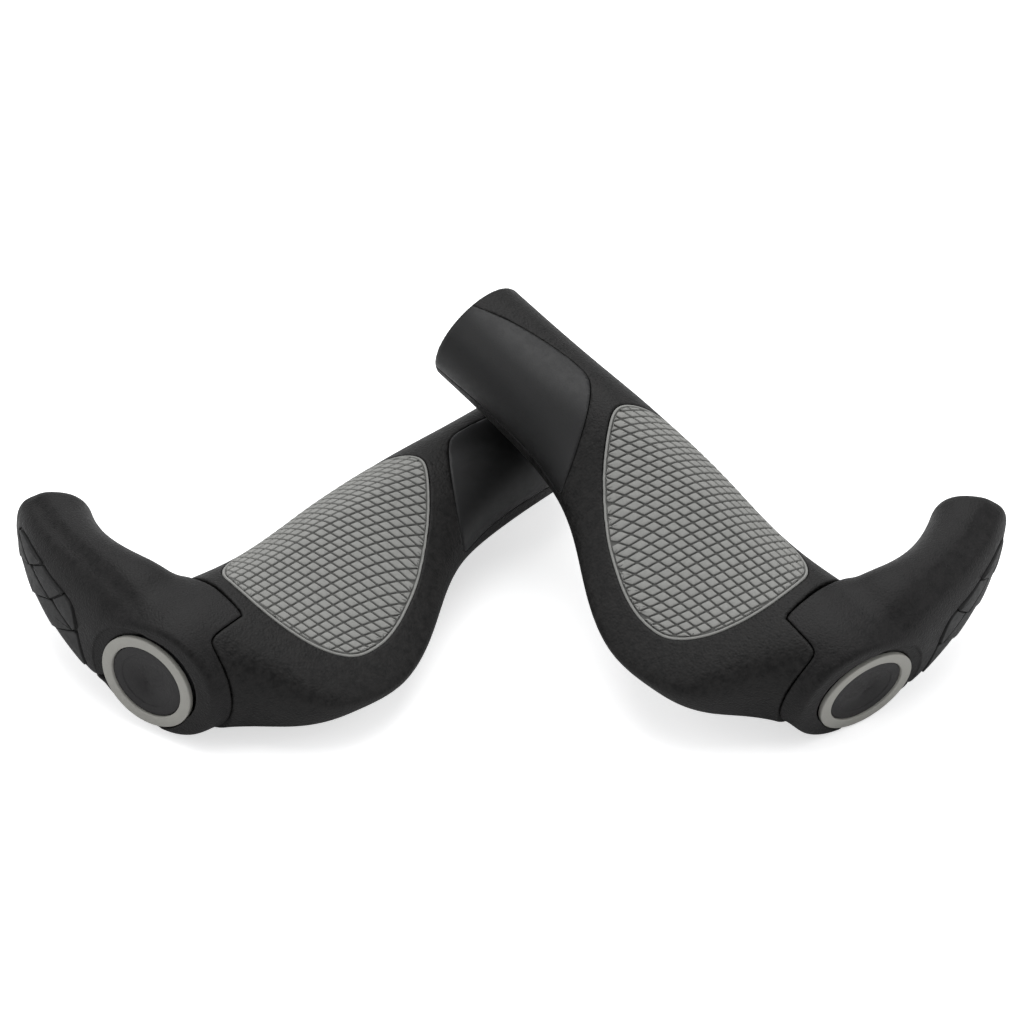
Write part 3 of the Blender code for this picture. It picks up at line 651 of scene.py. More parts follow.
def sample_grid(field, low, count, cell):
    """Field on the grid, worked out coarsely first and then exactly near the surface."""
    lines = [(low[i] + cell * np.arange(count[i]))[::COARSE] for i in range(3)]
    coarse = np.stack(np.meshgrid(*lines, indexing="ij"), -1)
    values = in_chunks(field, coarse.reshape(-1, 3)).reshape(coarse.shape[:3])
    for axis in range(3):
        place = np.arange(count[axis]) / COARSE
        i = np.minimum(place.astype(int), values.shape[axis] - 2)
        shape = [1, 1, 1]
        shape[axis] = -1
        part = (place - i).reshape(shape)
        values = np.take(values, i, axis) * (1 - part) + np.take(values, i + 1, axis) * part
    near = np.abs(values) < 4 * cell + 0.6
    values[near] = in_chunks(field, low + np.argwhere(near) * cell)
    return values


def surface_crossing(field, start, unit, value0, value1):
    """Where grid edges from start along unit cross the surface."""
    part0, part1 = np.zeros(len(start)), np.ones(len(start))
    for _ in range(2):
        part = part0 + (part1 - part0) * value0 / (value0 - value1)
        part = np.clip(part, 0.001, 0.999)
        middle = in_chunks(field, start + part[:, None] * unit)
        same = (middle < 0) == (value0 < 0)
        part0, value0 = np.where(same, part, part0), np.where(same, middle, value0)
        part1, value1 = np.where(same, part1, part), np.where(same, value1, middle)
    part = part0 + (part1 - part0) * value0 / (value0 - value1)
    return start + part[:, None] * unit


def edge_cells(edge, axis, shape):
    """Numbers of the four cells round each grid edge."""
    ring = []
    for j_step, k_step in ((-1, -1), (0, -1), (0, 0), (-1, 0)):
        cell = edge.copy()
        cell[:, (axis + 1) % 3] += j_step
        cell[:, (axis + 2) % 3] += k_step
        ring.append(np.ravel_multi_index(np.clip(cell, 0, np.array(shape) - 1).T, shape))
    return np.stack(ring, 1)


def fit_vertices(parts, inverse, count, cell):
    """One vertex in each cell, at the least-squares meeting of its tangent planes."""
    matrix, right = np.zeros((count, 6)), np.zeros((count, 3))
    mean, hits = np.zeros((count, 3)), np.zeros(count)
    done = 0
    for ring, point, normal in parts:
        where = inverse[done : done + ring.size].reshape(ring.shape)
        done += ring.size
        push = (normal * point).sum(1)
        for corner in where.T:
            def total(weights):
                return np.bincount(corner, weights=weights, minlength=count)

            hits += np.bincount(corner, minlength=count)
            for m in range(3):
                mean[:, m] += total(point[:, m])
                right[:, m] += total(normal[:, m] * push)
            for m, (i, j) in enumerate(((0, 0), (0, 1), (0, 2), (1, 1), (1, 2), (2, 2))):
                matrix[:, m] += total(normal[:, i] * normal[:, j])
    mean /= hits[:, None]
    full = matrix[:, [0, 1, 2, 1, 3, 4, 2, 4, 5]].reshape(-1, 3, 3)
    rest = right - np.einsum("nij,nj->ni", full, mean)
    held = full + np.eye(3) * (0.06 * hits)[:, None, None]
    move = np.linalg.solve(held, rest[..., None])[..., 0]
    return mean + np.clip(move, -0.8 * cell, 0.8 * cell)


def skin_mesh(field, low, high, cell):
    """Quads over the field's zero surface, with corners kept sharp."""
    low = np.asarray(low, float)
    count = np.ceil((np.asarray(high) - low) / cell / COARSE).astype(int) * COARSE + 1
    values = sample_grid(field, low, count, cell)
    inside = values < 0
    parts, quads = [], []
    for axis in range(3):
        first, second = [slice(None)] * 3, [slice(None)] * 3
        first[axis], second[axis] = slice(0, -1), slice(1, None)
        edge = np.argwhere(inside[tuple(first)] != inside[tuple(second)])
        other = edge.copy()
        other[:, axis] += 1
        unit = np.zeros(3)
        unit[axis] = cell
        point = surface_crossing(
            field, low + edge * cell, unit, values[tuple(edge.T)], values[tuple(other.T)]
        )
        base = in_chunks(field, point)
        slopes = [(in_chunks(field, point + step) - base) / SLOPE_STEP for step in SLOPE_OFFSETS]
        normal = np.stack(slopes, -1)
        normal /= np.maximum(np.linalg.norm(normal, axis=1, keepdims=True), 1e-6)
        ring = edge_cells(edge, axis, tuple(count - 1))
        parts.append((ring, point, normal))
        quads.append(np.where(inside[tuple(edge.T)][:, None], ring, ring[:, ::-1]))
    numbers = np.concatenate([ring.reshape(-1) for ring, _, _ in parts])
    cells, inverse = np.unique(numbers, return_inverse=True)
    verts = fit_vertices(parts, inverse, len(cells), cell)
    return verts, np.searchsorted(cells, np.concatenate(quads))


def biggest(verts, faces):
    """Only the largest connected piece."""
    label = np.arange(len(verts))
    while True:
        lowest = label[faces].min(1)
        new = label.copy()
        np.minimum.at(new, faces.reshape(-1), np.repeat(lowest, faces.shape[1]))
        new = new[new]
        if (new == label).all():
            break
        label = new
    keep = label == np.bincount(label[faces[:, 0]]).argmax()
    index = np.cumsum(keep) - 1
    return verts[keep], index[faces[keep[faces[:, 0]]]]


def lathe(profile, sign, count):
    """Turned body round the bar; profile of (distance from 0 towards sign * x, radius)."""
    along, radius = profile[:, 0, None], profile[:, 1, None]
    turn = np.arange(count) * FULL_TURN / count
    y, z = -sign * radius * np.cos(turn), -radius * np.sin(turn)
    verts = np.stack(np.broadcast_arrays(sign * along, y, z), -1).reshape(-1, 3)
    rows = len(profile)
    i, j = np.meshgrid(np.arange(rows), np.arange(count), indexing="ij")
    i, j = i.reshape(-1), j.reshape(-1)
    row, next_row, next_j = i * count, (i + 1) % rows * count, (j + 1) % count
    return verts, np.stack([row + j, row + next_j, next_row + next_j, next_row + j], 1)


def rounded(profile, radius, steps=4):
    """Closed profile with its corners rounded."""
    profile = np.asarray(profile, float)
    out = []
    for i, corner in enumerate(profile):
        back, on = profile[i - 1] - corner, profile[(i + 1) % len(profile)] - corner
        back_length, on_length = np.linalg.norm(back), np.linalg.norm(on)
        cut = min(radius, 0.45 * back_length, 0.45 * on_length)
        start, end = corner + back / back_length * cut, corner + on / on_length * cut
        for k in range(steps + 1):
            part = k / steps
            out.append((1 - part) ** 2 * start + 2 * part * (1 - part) * corner + part**2 * end)
    return np.array(out)


# ------------------------------------------------------------------ tiled patches
def area(loop):
    after = np.roll(loop, -1, 0)
    return 0.5 * (loop[:, 0] * after[:, 1] - after[:, 0] * loop[:, 1]).sum()


def shrink(loop, inset):
    """A loop moved inwards by inset."""
    back, on = loop - np.roll(loop, 1, 0), np.roll(loop, -1, 0) - loop
    back /= np.maximum(np.linalg.norm(back, axis=1, keepdims=True), 1e-9)
    on /= np.maximum(np.linalg.norm(on, axis=1, keepdims=True), 1e-9)
    normal0, normal1 = (np.stack([-way[:, 1], way[:, 0]], 1) for way in (back, on))
    cosine = (normal0 * normal1).sum(1, keepdims=True)
    return loop + (normal0 + normal1) / np.maximum(1 + cosine, 0.35) * inset


def strip(last, new):
    """Quads between two rings of vertex numbers."""
    count = len(last)
    following = [(k + 1) % count for k in range(count)]
    return [(last[k], last[m], new[m], new[k]) for k, m in enumerate(following)]


@dataclass
class Tiles:
    """A patch cut into tiles by two families of grooves, with a plain rim, as one body."""

    outline: np.ndarray  # flat loop round the patch
    rim: float  # width of the plain rim
    lattice: object  # flat points to two coordinates, whole numbers on the grooves
    ranges: tuple  # first and last groove of each family
    cuts: int  # pieces in each tile edge
    margin: float  # how far past the outline grooves are followed
    surface: object  # (flat points, heights) to points in space
    height: object  # (flat points, tile) to the tile's top
    floor: float  # height of the grooves' floor
    groove: float
    bevel: float
    rings: int  # rings of faces over each tile's top
    rim_profile: tuple  # (share of the rim's width, height)
    under: float  # height of the underside
    crown: float  # how much the tile's middle is raised
    soft: float  # how far tile corners are drawn in

    def signed(self, points):
        """Distance to the rim's inner edge, positive inside, and the place along it."""
        points = np.atleast_2d(points)
        starts, ends = self.inner, np.roll(self.inner, -1, 0)
        edges = ends - starts
        offset = points[:, None] - starts[None]
        part = np.clip((offset * edges).sum(-1) / (edges * edges).sum(-1), 0, 1)
        gap = np.linalg.norm(offset - part[..., None] * edges, axis=-1)
        nearest = gap.argmin(1)
        x, y = points[:, None, 0], points[:, None, 1]
        crosses = (starts[None, :, 1] > y) != (ends[None, :, 1] > y)
        with np.errstate(divide="ignore", invalid="ignore"):
            at = starts[None, :, 0] + (y - starts[None, :, 1]) / edges[:, 1] * edges[:, 0]
        inside = (crosses & (x < at)).sum(1) % 2 == 1
        row = np.arange(len(points))
        return np.where(inside, 1, -1) * gap[row, nearest], nearest + part[row, nearest]

    def add(self, key, point, arc=None):
        """Number of a shared point, added if new; arc is its place along the rim."""
        if key not in self.keys:
            self.keys[key] = len(self.points)
            self.points.append(np.asarray(point, float))
            if arc is not None:
                self.arc[self.keys[key]] = arc
        return self.keys[key]

    def find_corners(self):
        """Where grooves cross: the nearest of a grid of guesses, then Newton steps."""
        (first0, last0), (first1, last1) = self.ranges
        low, high = self.outer.min(0) - self.margin, self.outer.max(0) + self.margin
        lines = [np.arange(low[k], high[k], 0.8) for k in range(2)]
        grid = np.stack([g.reshape(-1) for g in np.meshgrid(*lines, indexing="ij")], 1)
        at0, at1 = self.lattice(grid)
        i, j = np.meshgrid(
            np.arange(first0, last0 + 1), np.arange(first1, last1 + 1), indexing="ij"
        )
        goal = np.stack([i.reshape(-1), j.reshape(-1)], 1).astype(float)
        miss = np.abs(at0[None] - goal[:, :1]) + np.abs(at1[None] - goal[:, 1:])
        points = grid[np.argmin(miss, axis=1)]
        for _ in range(8):
            here = np.stack(self.lattice(points), 1)
            by_x = np.stack(self.lattice(points + (0.01, 0)), 1) - here
            by_y = np.stack(self.lattice(points + (0, 0.01)), 1) - here
            slope = np.stack([by_x, by_y], -1) / 0.01
            step = np.linalg.solve(slope + np.eye(2) * 1e-9, (goal - here)[..., None])[..., 0]
            points = points + np.clip(step, -1.5, 1.5)
        at0, at1 = self.lattice(points)
        good = np.abs(at0 - goal[:, 0]) + np.abs(at1 - goal[:, 1]) < 0.02
        good &= (points > low).all(1) & (points < high).all(1)
        return {(int(g[0]), int(g[1])): q for g, q, ok in zip(goal, points, good) if ok}

    def rim_crossing(self, low, high, low_gap, high_gap):
        """Where the step from low to high crosses the rim, and its place along it."""
        for _ in range(3):
            middle = low + (high - low) * (low_gap / (low_gap - high_gap))
            gap, arc = self.signed(middle)
            if (gap[0] > 0) == (low_gap > 0):
                low, low_gap = middle, gap[0]
            else:
                high, high_gap = middle, gap[0]
            if abs(gap[0]) < 1e-4:
                break
        return middle, float(arc[0])

    def chain(self, start, end):
        """(key, point, inside or None, arc) from start to end, with its rim crossings."""
        if (start, end) not in self.chains:
            part = np.linspace(0, 1, self.cuts + 1)[:, None]
            points = self.corners[start] * (1 - part) + self.corners[end] * part
            gap, _ = self.signed(points)
            found = []
            for k in range(self.cuts + 1):
                key = ("edge", start, end, k)
                if k in (0, self.cuts):
                    key = ("corner", start if k == 0 else end)
                found.append((key, points[k], gap[k] > 0, None))
                if k < self.cuts and (gap[k] > 0) != (gap[k + 1] > 0):
                    at, arc = self.rim_crossing(points[k], points[k + 1], gap[k], gap[k + 1])
                    found.append((("crossing", start, end, k), at, None, arc))
            self.chains[(start, end)] = found
        return self.chains[(start, end)]

    def clip(self, path):
        """Loop of point numbers of the part of a tile's path inside the rim."""
        start = next(k for k, entry in enumerate(path) if entry[2])
        count = len(self.inner)
        loop, leaving = [], None
        for key, point, inside, arc in path[start:] + path[:start]:
            if inside is None:
                if leaving is None:
                    loop.append(self.add(key, point, arc))
                    leaving = arc
                    continue
                end = arc if arc > leaving else arc + count
                if end - leaving < count / 2:
                    for k in range(math.floor(leaving) + 1, math.ceil(end)):
                        m = k % count
                        loop.append(self.add(("rim", m), self.inner[m], m))
                loop.append(self.add(key, point, arc))
                leaving = None
            elif inside and leaving is None:
                loop.append(self.add(key, point))
        return [number for k, number in enumerate(loop) if number != loop[k - 1]]

    def cells(self):
        result = []
        for i, j in self.corners:
            square = [(i, j), (i + 1, j), (i + 1, j + 1), (i, j + 1)]
            if any(corner not in self.corners for corner in square):
                continue
            if area(np.array([self.corners[corner] for corner in square])) < 0:
                square = square[::-1]
            path = []
            for start, end in zip(square, square[1:] + square[:1]):
                forward = start < end
                path += (self.chain(start, end) if forward else self.chain(end, start)[::-1])[:-1]
            if not any(entry[2] for entry in path):
                continue
            loop = self.clip(path)
            if len(loop) >= 3:
                result.append(((i, j), loop))
        for k, point in enumerate(self.inner):
            self.add(("rim", k), point, k)
        return result

    def lay(self, flat, level):
        """Adds vertices at a height, and gives their numbers."""
        start = sum(map(len, self.flat[-1:])) + self.flat_start
        self.flat_start = start
        self.flat.append(flat)
        self.levels.append(np.broadcast_to(level, len(flat)))
        return list(range(start, start + len(flat)))

    def carve(self, tile, last, sharp):
        """One tile: its groove wall, bevel and top."""
        loop = self.flat[0][last]
        corner = np.array([number in sharp for number in last])
        size = area(loop)
        length = np.linalg.norm(np.roll(loop, -1, 0) - loop, axis=1).sum()
        if size < 0.5 or 4 * size / max(length, 1e-6) < 1.9 * (self.groove + self.bevel):
            self.faces.append(tuple(last))
            return
        wall = self.groove / 2 + 0.04
        part = self.bevel * 0.35
        # inset, drop below the tile's top (none at the floor)
        steps = (
            (self.groove / 2, None), (wall, self.bevel), (wall + part, part),
            (wall + self.bevel, 0),
        )
        for inset, drop in steps:
            edge = shrink(loop, inset)
            pull = loop.mean(0) - edge
            share = corner * self.soft / np.maximum(np.linalg.norm(pull, axis=1), 1e-6)
            edge = edge + pull * share[:, None]
            level = self.floor if drop is None else self.height(edge, tile) - drop
            new = self.lay(edge, level)
            self.faces += strip(last, new)
            last = new
        middle = edge.mean(0)
        for k in range(1, self.rings):
            share = 1 - k / self.rings
            ring = middle + (edge - middle) * share
            new = self.lay(ring, self.height(ring, tile) + self.crown * (1 - share * share))
            self.faces += strip(last, new)
            last = new
        top, = self.lay(middle[None], self.height(middle[None], tile) + self.crown)
        self.faces += [(a, b, top) for a, b in zip(last, last[1:] + last[:1])]

    def close(self):
        """The rim and the underside."""
        last = sorted(self.arc, key=lambda number: self.arc[number])
        arcs = np.array([self.arc[number] for number in last])
        k = np.floor(arcs).astype(int) % len(self.inner)
        part = (arcs - np.floor(arcs))[:, None]
        outer = self.outer[k] * (1 - part) + self.outer[(k + 1) % len(self.outer)] * part
        inner, middle = self.flat[0][last], outer.mean(0)
        rings = [(inner * (1 - share) + outer * share, level) for share, level in self.rim_profile]
        for share in (1.0, 0.8, 0.6, 0.4, 0.2):
            rings.append((middle + (outer - middle) * share, self.under))
        for ring, level in rings:
            new = self.lay(ring, level)
            self.faces += strip(new, last)
            last = new
        centre, = self.lay(middle[None], self.under)
        self.faces += [(b, a, centre) for a, b in zip(last, last[1:] + last[:1])]

    def build(self):
        """Vertices, faces, and each vertex's level: 0 in the grooves, 1 on the tiles."""
        self.outer = self.outline if area(self.outline) > 0 else self.outline[::-1]
        ahead = np.roll(self.outer, -1, 0) - np.roll(self.outer, 1, 0)
        out = np.stack([ahead[:, 1], -ahead[:, 0]], 1)
        out /= np.linalg.norm(out, axis=1, keepdims=True)
        self.inner = self.outer - out * self.rim
        self.points, self.keys, self.arc, self.chains = [], {}, {}, {}
        self.corners = self.find_corners()
        cells = self.cells()
        sharp = {number for key, number in self.keys.items() if key[0] == "corner"}
        self.flat, self.levels, self.faces, self.flat_start = [], [], [], 0
        self.lay(np.array(self.points), self.floor)
        for tile, loop in cells:
            self.carve(tile, loop, sharp)
        self.close()
        heights = np.concatenate(self.levels)
        verts = self.surface(np.concatenate(self.flat), heights)
        return verts, self.faces, np.clip((heights - self.floor) / 0.4, 0, 1)


def raised(at, flat, height, reach, core):
    """Points at a height over the surface at(flat); its slope spans reach, core is inside."""
    base = at(flat)
    along, around = np.array((reach, 0)), np.array((0, reach))
    normal = np.cross(at(flat + along) - at(flat - along), at(flat + around) - at(flat - around))
    normal /= np.linalg.norm(normal, axis=1, keepdims=True)
    inward = ((base - core) * normal).sum(1, keepdims=True) < 0
    return base + np.where(inward, -normal, normal) * height[:, None]


# ------------------------------------------------------------------ the palm inlay
# arc length round the section, from the top of the bar, positive towards the rear
ARC_STEP = 0.5
ARC_X = np.arange(20.0, 108.01, ARC_STEP)
ARC_ANGLES = np.radians(np.linspace(0, 178, 900))
ARC_GRID = np.arange(-30.0, 60.01, ARC_STEP)


def arc_tables():
    """Arc length by x and angle, and angle by x and arc length."""
    points = grip_point(ARC_X[:, None], ARC_ANGLES[None])
    length = np.cumsum(np.linalg.norm(np.diff(points, axis=1), axis=2), axis=1)
    length = np.concatenate([np.zeros((len(ARC_X), 1)), length], 1)
    top = np.argmin(np.abs(ARC_ANGLES - math.pi / 2))
    length = length - length[:, top : top + 1]
    return length, np.array([np.interp(ARC_GRID, row, ARC_ANGLES) for row in length])


ARC_LENGTH, ANGLE_AT_ARC = arc_tables()


def pad_point(flat):
    """(x, arc length) to the skin."""
    row = np.clip((flat[:, 0] - ARC_X[0]) / ARC_STEP, 0, len(ARC_X) - 1.001)
    column = np.clip((flat[:, 1] - ARC_GRID[0]) / ARC_STEP, 0, len(ARC_GRID) - 1.001)
    return grip_point(flat[:, 0], bilinear(ANGLE_AT_ARC, row, column))


def pad_surface(flat, height):
    return raised(pad_point, flat, height, 0.6, flat[:, :1] * (1, 0, 0))


# quartics for the two families of grooves; terms run as in pad_lattice
PAD_GROOVES_0 = (
    9.572, -2.8762, 0.4552, 0.396, -0.814, 11.4754, -0.2624, 0.5632, 0.0967, 0.4749, -0.1268,
    0.0003, -0.0854, -0.2034, -0.2164,
)
PAD_GROOVES_1 = (
    2.8265, 9.0459, -1.2902, -0.2083, 0.4317, -1.8102, -0.4886, -0.7235, -1.0304, -1.7395,
    -0.3119, -0.447, 0.101, -0.0343, 0.3626,
)


def pad_lattice(flat):
    along, around = (flat[:, 0] - 60) / 32, (flat[:, 1] - 10) / 24
    terms = np.stack([along**i * around**j for i in range(5) for j in range(5 - i)], -1)
    return terms @ np.array(PAD_GROOVES_0), terms @ np.array(PAD_GROOVES_1)


def palm_inlay():
    arcs = [
        np.interp(math.radians(angle), ARC_ANGLES, ARC_LENGTH[round((x - ARC_X[0]) / ARC_STEP)])
        for x, angle in PAD_OUTLINE
    ]
    top, floor = 0.12, -0.50
    return Tiles(
        outline=np.stack([PAD_OUTLINE[:, 0], arcs], 1), rim=0.9,
        lattice=pad_lattice, ranges=((-4, 30), (-10, 18)), cuts=4, margin=4.0,
        surface=pad_surface, height=lambda flat, tile: np.full(len(flat), top),
        floor=floor, groove=0.46, bevel=0.12, rings=2,
        rim_profile=(
            (0.16, floor), (0.2, top - 0.2), (0.32, top - 0.06), (0.5, top - 0.03),
            (0.72, top - 0.07), (0.9, top - 0.2), (1.0, top - 0.45), (1.0, -1.2),
        ),
        under=-1.55, crown=0.05, soft=0.1,
    ).build()


# ------------------------------------------------------------------ the horn's insert
# two columns of four overlapping ribs on the outer flank; flat places are millimetres
# along the flank and round it from this angle
FLANK_MIDDLE = math.radians(181)
FLANK_SHARES = np.linspace(0.15, 1.15, 200)
FLANK_ANGLES = np.radians(np.linspace(110, 250, 141))


def run_length(points):
    steps = np.linalg.norm(np.diff(points, axis=0), axis=1)
    return np.concatenate([[0], np.cumsum(steps)])


def flank_arcs(share):
    arc = run_length(horn_point(share, FLANK_ANGLES))
    return arc - np.interp(FLANK_MIDDLE, FLANK_ANGLES, arc)


FLANK_LENGTH = run_length(horn_point(FLANK_SHARES, FLANK_MIDDLE))
FLANK_ARC = np.array([flank_arcs(share) for share in FLANK_SHARES])


def between_rows(share, values, convert):
    """convert(value, arc row) at each spine share, blended between the rows beside it."""
    place = np.clip(np.interp(share, FLANK_SHARES, np.arange(200)), 0, 198.999)
    row = place.astype(int)
    part = place - row
    low = np.array([convert(value, FLANK_ARC[k]) for value, k in zip(values, row)])
    high = np.array([convert(value, FLANK_ARC[k + 1]) for value, k in zip(values, row)])
    return low * (1 - part) + high * part


def to_flank(share, angle):
    arc = between_rows(share, angle, lambda value, row: np.interp(value, FLANK_ANGLES, row))
    return np.stack([np.interp(share, FLANK_SHARES, FLANK_LENGTH), arc], 1)


def from_flank(flat):
    share = np.interp(flat[:, 0], FLANK_LENGTH, FLANK_SHARES)
    convert = lambda value, row: np.interp(value, row, FLANK_ANGLES)
    return share, between_rows(share, flat[:, 1], convert)


def flank_surface(flat, height):
    core = spine_at(from_flank(flat)[0])
    return raised(lambda place: horn_point(*from_flank(place)), flat, height, 0.4, core)


# slanting grooves across: skewed share of the spine, groove number
RIB_STOPS = (-0.75, 0.25, 0.436, 0.566, 0.706, 0.90, 1.90)
RIB_STEPS = (-5.0, 0.0, 1.0, 2.0, 3.0, 4.0, 8.5)
RIB_SKEW = 0.00315  # share of the spine in each degree
# groove along: share of the spine, angle in degrees
DIVIDE_SHARES = (0.45, 0.52, 0.62, 0.728, 0.783, 0.845, 0.92)
DIVIDE_ANGLES = (183, 181.5, 180, 177.8, 175.5, 172.5, 169)


def rib_lattice(flat):
    share, angle = from_flank(flat)
    angle = np.degrees(angle)
    middle = np.interp(share, DIVIDE_SHARES, DIVIDE_ANGLES)
    across = np.interp(share - RIB_SKEW * (angle - 162), RIB_STOPS, RIB_STEPS)
    return across, 1 + (angle - middle) / np.where(angle < middle, 28, 45)


def rib_height(flat, tile):
    """Each rib slopes down from its edge nearer the clamp."""
    return 0.05 + 0.5 * (1 - np.clip(rib_lattice(flat)[0] - tile[0], 0, 1))


def rib_insert():
    return Tiles(
        outline=to_flank(*rib_outline(160).T), rim=0.3,
        lattice=rib_lattice, ranges=((0, 4), (0, 2)), cuts=12, margin=26.0,
        surface=flank_surface, height=rib_height,
        floor=-0.6, groove=0.40, bevel=0.22, rings=8,
        rim_profile=((0.4, -0.5), (0.7, -0.45), (1.0, -0.6), (1.0, -1.0)),
        under=-1.5, crown=0.05, soft=0.0,
    ).build()


# ------------------------------------------------------------------ the shells and turned pieces
def grip_shell():
    return skin_mesh(grip_body_field, low=(7.5, -44, -23), high=(152, 22, 21), cell=GRIP_CELL)


def thumb_shell():
    return skin_mesh(sleeve_field, low=(91, -28, -19), high=(152, 20, 20), cell=GRIP_CELL)


def horn_shell():
    box = {"low": (-12, -22, -24), "high": (38, 76, 26)}
    return biggest(*skin_mesh(bar_end_field, **box, cell=HORN_CELL))


def leaning(verts, faces):
    """A turned shape about the bar's line, leant to lie in the cap's plane."""
    lean = -(verts[:, 1] * CAP_NORMAL[1] + verts[:, 2] * CAP_NORMAL[2]) / CAP_NORMAL[0]
    return verts + CAP_CENTRE + np.stack([lean, 0 * lean, 0 * lean], 1), faces


def cap_band():
    inner, outer, back, edge = 10.9, 14.05, -0.7, 0.62
    profile = ((back, inner), (edge, inner), (0.72, 12.4), (edge, outer), (back, outer))
    return leaning(*lathe(rounded(profile, radius=0.32), sign=-1, count=160))


def cap_face():
    """A disc with a shallow dish in its outer face."""
    profile = np.array((
        (-0.7, 0.002), (-0.7, 10.7), (0.05, 10.7), (0.12, 10.55), (0.14, 10.3), (0.14, 8.2),
        (0.10, 8.05), (-0.08, 7.9), (-0.12, 7.75), (-0.12, 0.002),
    ))
    return leaning(*lathe(profile, sign=-1, count=160))


def bar_tube():
    start, end = 6.6, GRIP_LENGTH - 0.4
    profile = ((start, BORE_R), (end, BORE_R), (end, TUBE_R), (start, TUBE_R))
    return lathe(rounded(profile, radius=0.25), sign=1, count=128)


# ------------------------------------------------------------------ materials
def new_material(name):
    mat = bpy.data.materials.new(name)
    mat.use_nodes = True
    return mat, mat.node_tree, mat.node_tree.nodes["Principled BSDF"]


def add_node(tree, kind, inputs, **settings):
    """Adds a node; inputs given as sockets are linked, the others are values."""
    node = tree.nodes.new(kind)
    for key, value in settings.items():
        setattr(node, key, value)
    for key, value in inputs.items():
        if isinstance(value, bpy.types.NodeSocket):
            tree.links.new(value, node.inputs[key])
        else:
            node.inputs[key].default_value = value
    return node


def math_node(tree, operation, first, second):
    node = add_node(tree, "ShaderNodeMath", {0: first, 1: second}, operation=operation)
    return node.outputs["Value"]


def moulded(name, colour, rough, grain, depth, specular, mottle, metallic=0.0, groove_shade=1.0):
    """Moulded finish with a pebbled bump and mottled colour and roughness.

    grain and depth are the bump's in millimetres; mottle is the colour's swing either way,
    and the groove argument is painted shade: the brightness left at the bottom of a tiled patch's
    grooves.
    """
    mat, tree, shader = new_material(name)
    where = add_node(tree, "ShaderNodeTexCoord", {}).outputs["Object"]

    def noise(scale, detail):
        inputs = {"Scale": scale, "Detail": detail, "Vector": where}
        return add_node(tree, "ShaderNodeTexNoise", inputs).outputs["Fac"]

    def map_range(inputs):
        return add_node(tree, "ShaderNodeMapRange", inputs).outputs["Result"]

    def mix(inputs, **settings):
        node = add_node(tree, "ShaderNodeMix", inputs, data_type="RGBA", **settings)
        return node.outputs["Result"]

    pebble = add_node(
        tree, "ShaderNodeTexVoronoi",
        {"Scale": 1000.0 / grain, "Smoothness": 0.6, "Vector": where}, feature="SMOOTH_F1",
    ).outputs["Distance"]
    dust = noise(scale=1000.0 / (grain * 1.7), detail=4.0)
    cloud = noise(scale=420.0, detail=3.0)
    relief = math_node(tree, "ADD", pebble, dust)
    bump = {"Strength": 1.0, "Distance": depth * MM, "Height": relief}
    normal = add_node(tree, "ShaderNodeBump", bump).outputs["Normal"]
    tree.links.new(normal, shader.inputs["Normal"])

    mean = math_node(tree, "MULTIPLY", math_node(tree, "ADD", cloud, dust), 0.5)
    spread = map_range({"From Min": 0.38, "From Max": 0.62, "Value": mean})
    dark, light = ((*[c * swing for c in colour], 1) for swing in (1 - mottle, 1 + mottle))
    tone = mix({"Factor": spread, "A": dark, "B": light})
    if groove_shade < 1:
        # painted shade: the grooves' floors are darkened, standing in for the shade that falls in
        # them
        level = add_node(tree, "ShaderNodeAttribute", {}, attribute_name="level").outputs["Fac"]
        shade = map_range({"To Min": groove_shade, "From Max": 0.9, "Value": level})
        tone = mix({"Factor": 1.0, "A": tone, "B": shade}, blend_type="MULTIPLY")
    tree.links.new(tone, shader.inputs["Base Color"])
    span = map_range({"To Min": rough - 0.07, "To Max": rough + 0.07, "Value": spread})
    tree.links.new(span, shader.inputs["Roughness"])
    shader.inputs["Specular IOR Level"].default_value = specular
    shader.inputs["Metallic"].default_value = metallic
    mat.diffuse_color = (*colour, 1)
    return mat


MATERIALS = {
    "grip": moulded(
        "grip_rubber_look", colour=(0.0092, 0.0088, 0.0085), rough=0.56,
        grain=0.62, depth=0.13, specular=0.22, mottle=0.60),
    "sleeve": moulded(
        "sleeve_rubber_look", colour=(0.0115, 0.0115, 0.0118), rough=0.47,
        grain=0.40, depth=0.008, specular=0.32, mottle=0.10),
    "nylon": moulded(
        "horn_nylon_look", colour=(0.0080, 0.0075, 0.0075), rough=0.54,
        grain=0.50, depth=0.11, specular=0.22, mottle=0.60),
    # pad and ribs: painted shade darkens the floors of their grooves
    "pad": moulded(
        "pad_gel_look", colour=(0.262, 0.262, 0.250), rough=0.72,
        grain=0.45, depth=0.020, specular=0.20, mottle=0.07, groove_shade=0.45),
    "ribs": moulded(
        "rib_rubber_look", colour=(0.0120, 0.0120, 0.0120), rough=0.55,
        grain=0.40, depth=0.010, specular=0.25, mottle=0.12, groove_shade=0.25),
    "ring": moulded(
        "ring_plastic_look", colour=(0.340, 0.334, 0.305), rough=0.46,
        grain=0.28, depth=0.008, specular=0.40, mottle=0.04),
    "disc": moulded(
        "disc_plastic_look", colour=(0.0165, 0.0155, 0.0160), rough=0.52,
        grain=0.40, depth=0.030, specular=0.30, mottle=0.25),
    "core": moulded(
        "core_nylon_look", colour=(0.022, 0.022, 0.023), rough=0.50,
        grain=0.40, depth=0.010, specular=0.40, mottle=0.10),
    "steel": moulded(
        "screw_steel_look", colour=(0.46, 0.46, 0.47), rough=0.34,
        grain=0.30, depth=0.004, specular=0.5, mottle=0.05, metallic=1.0),
}

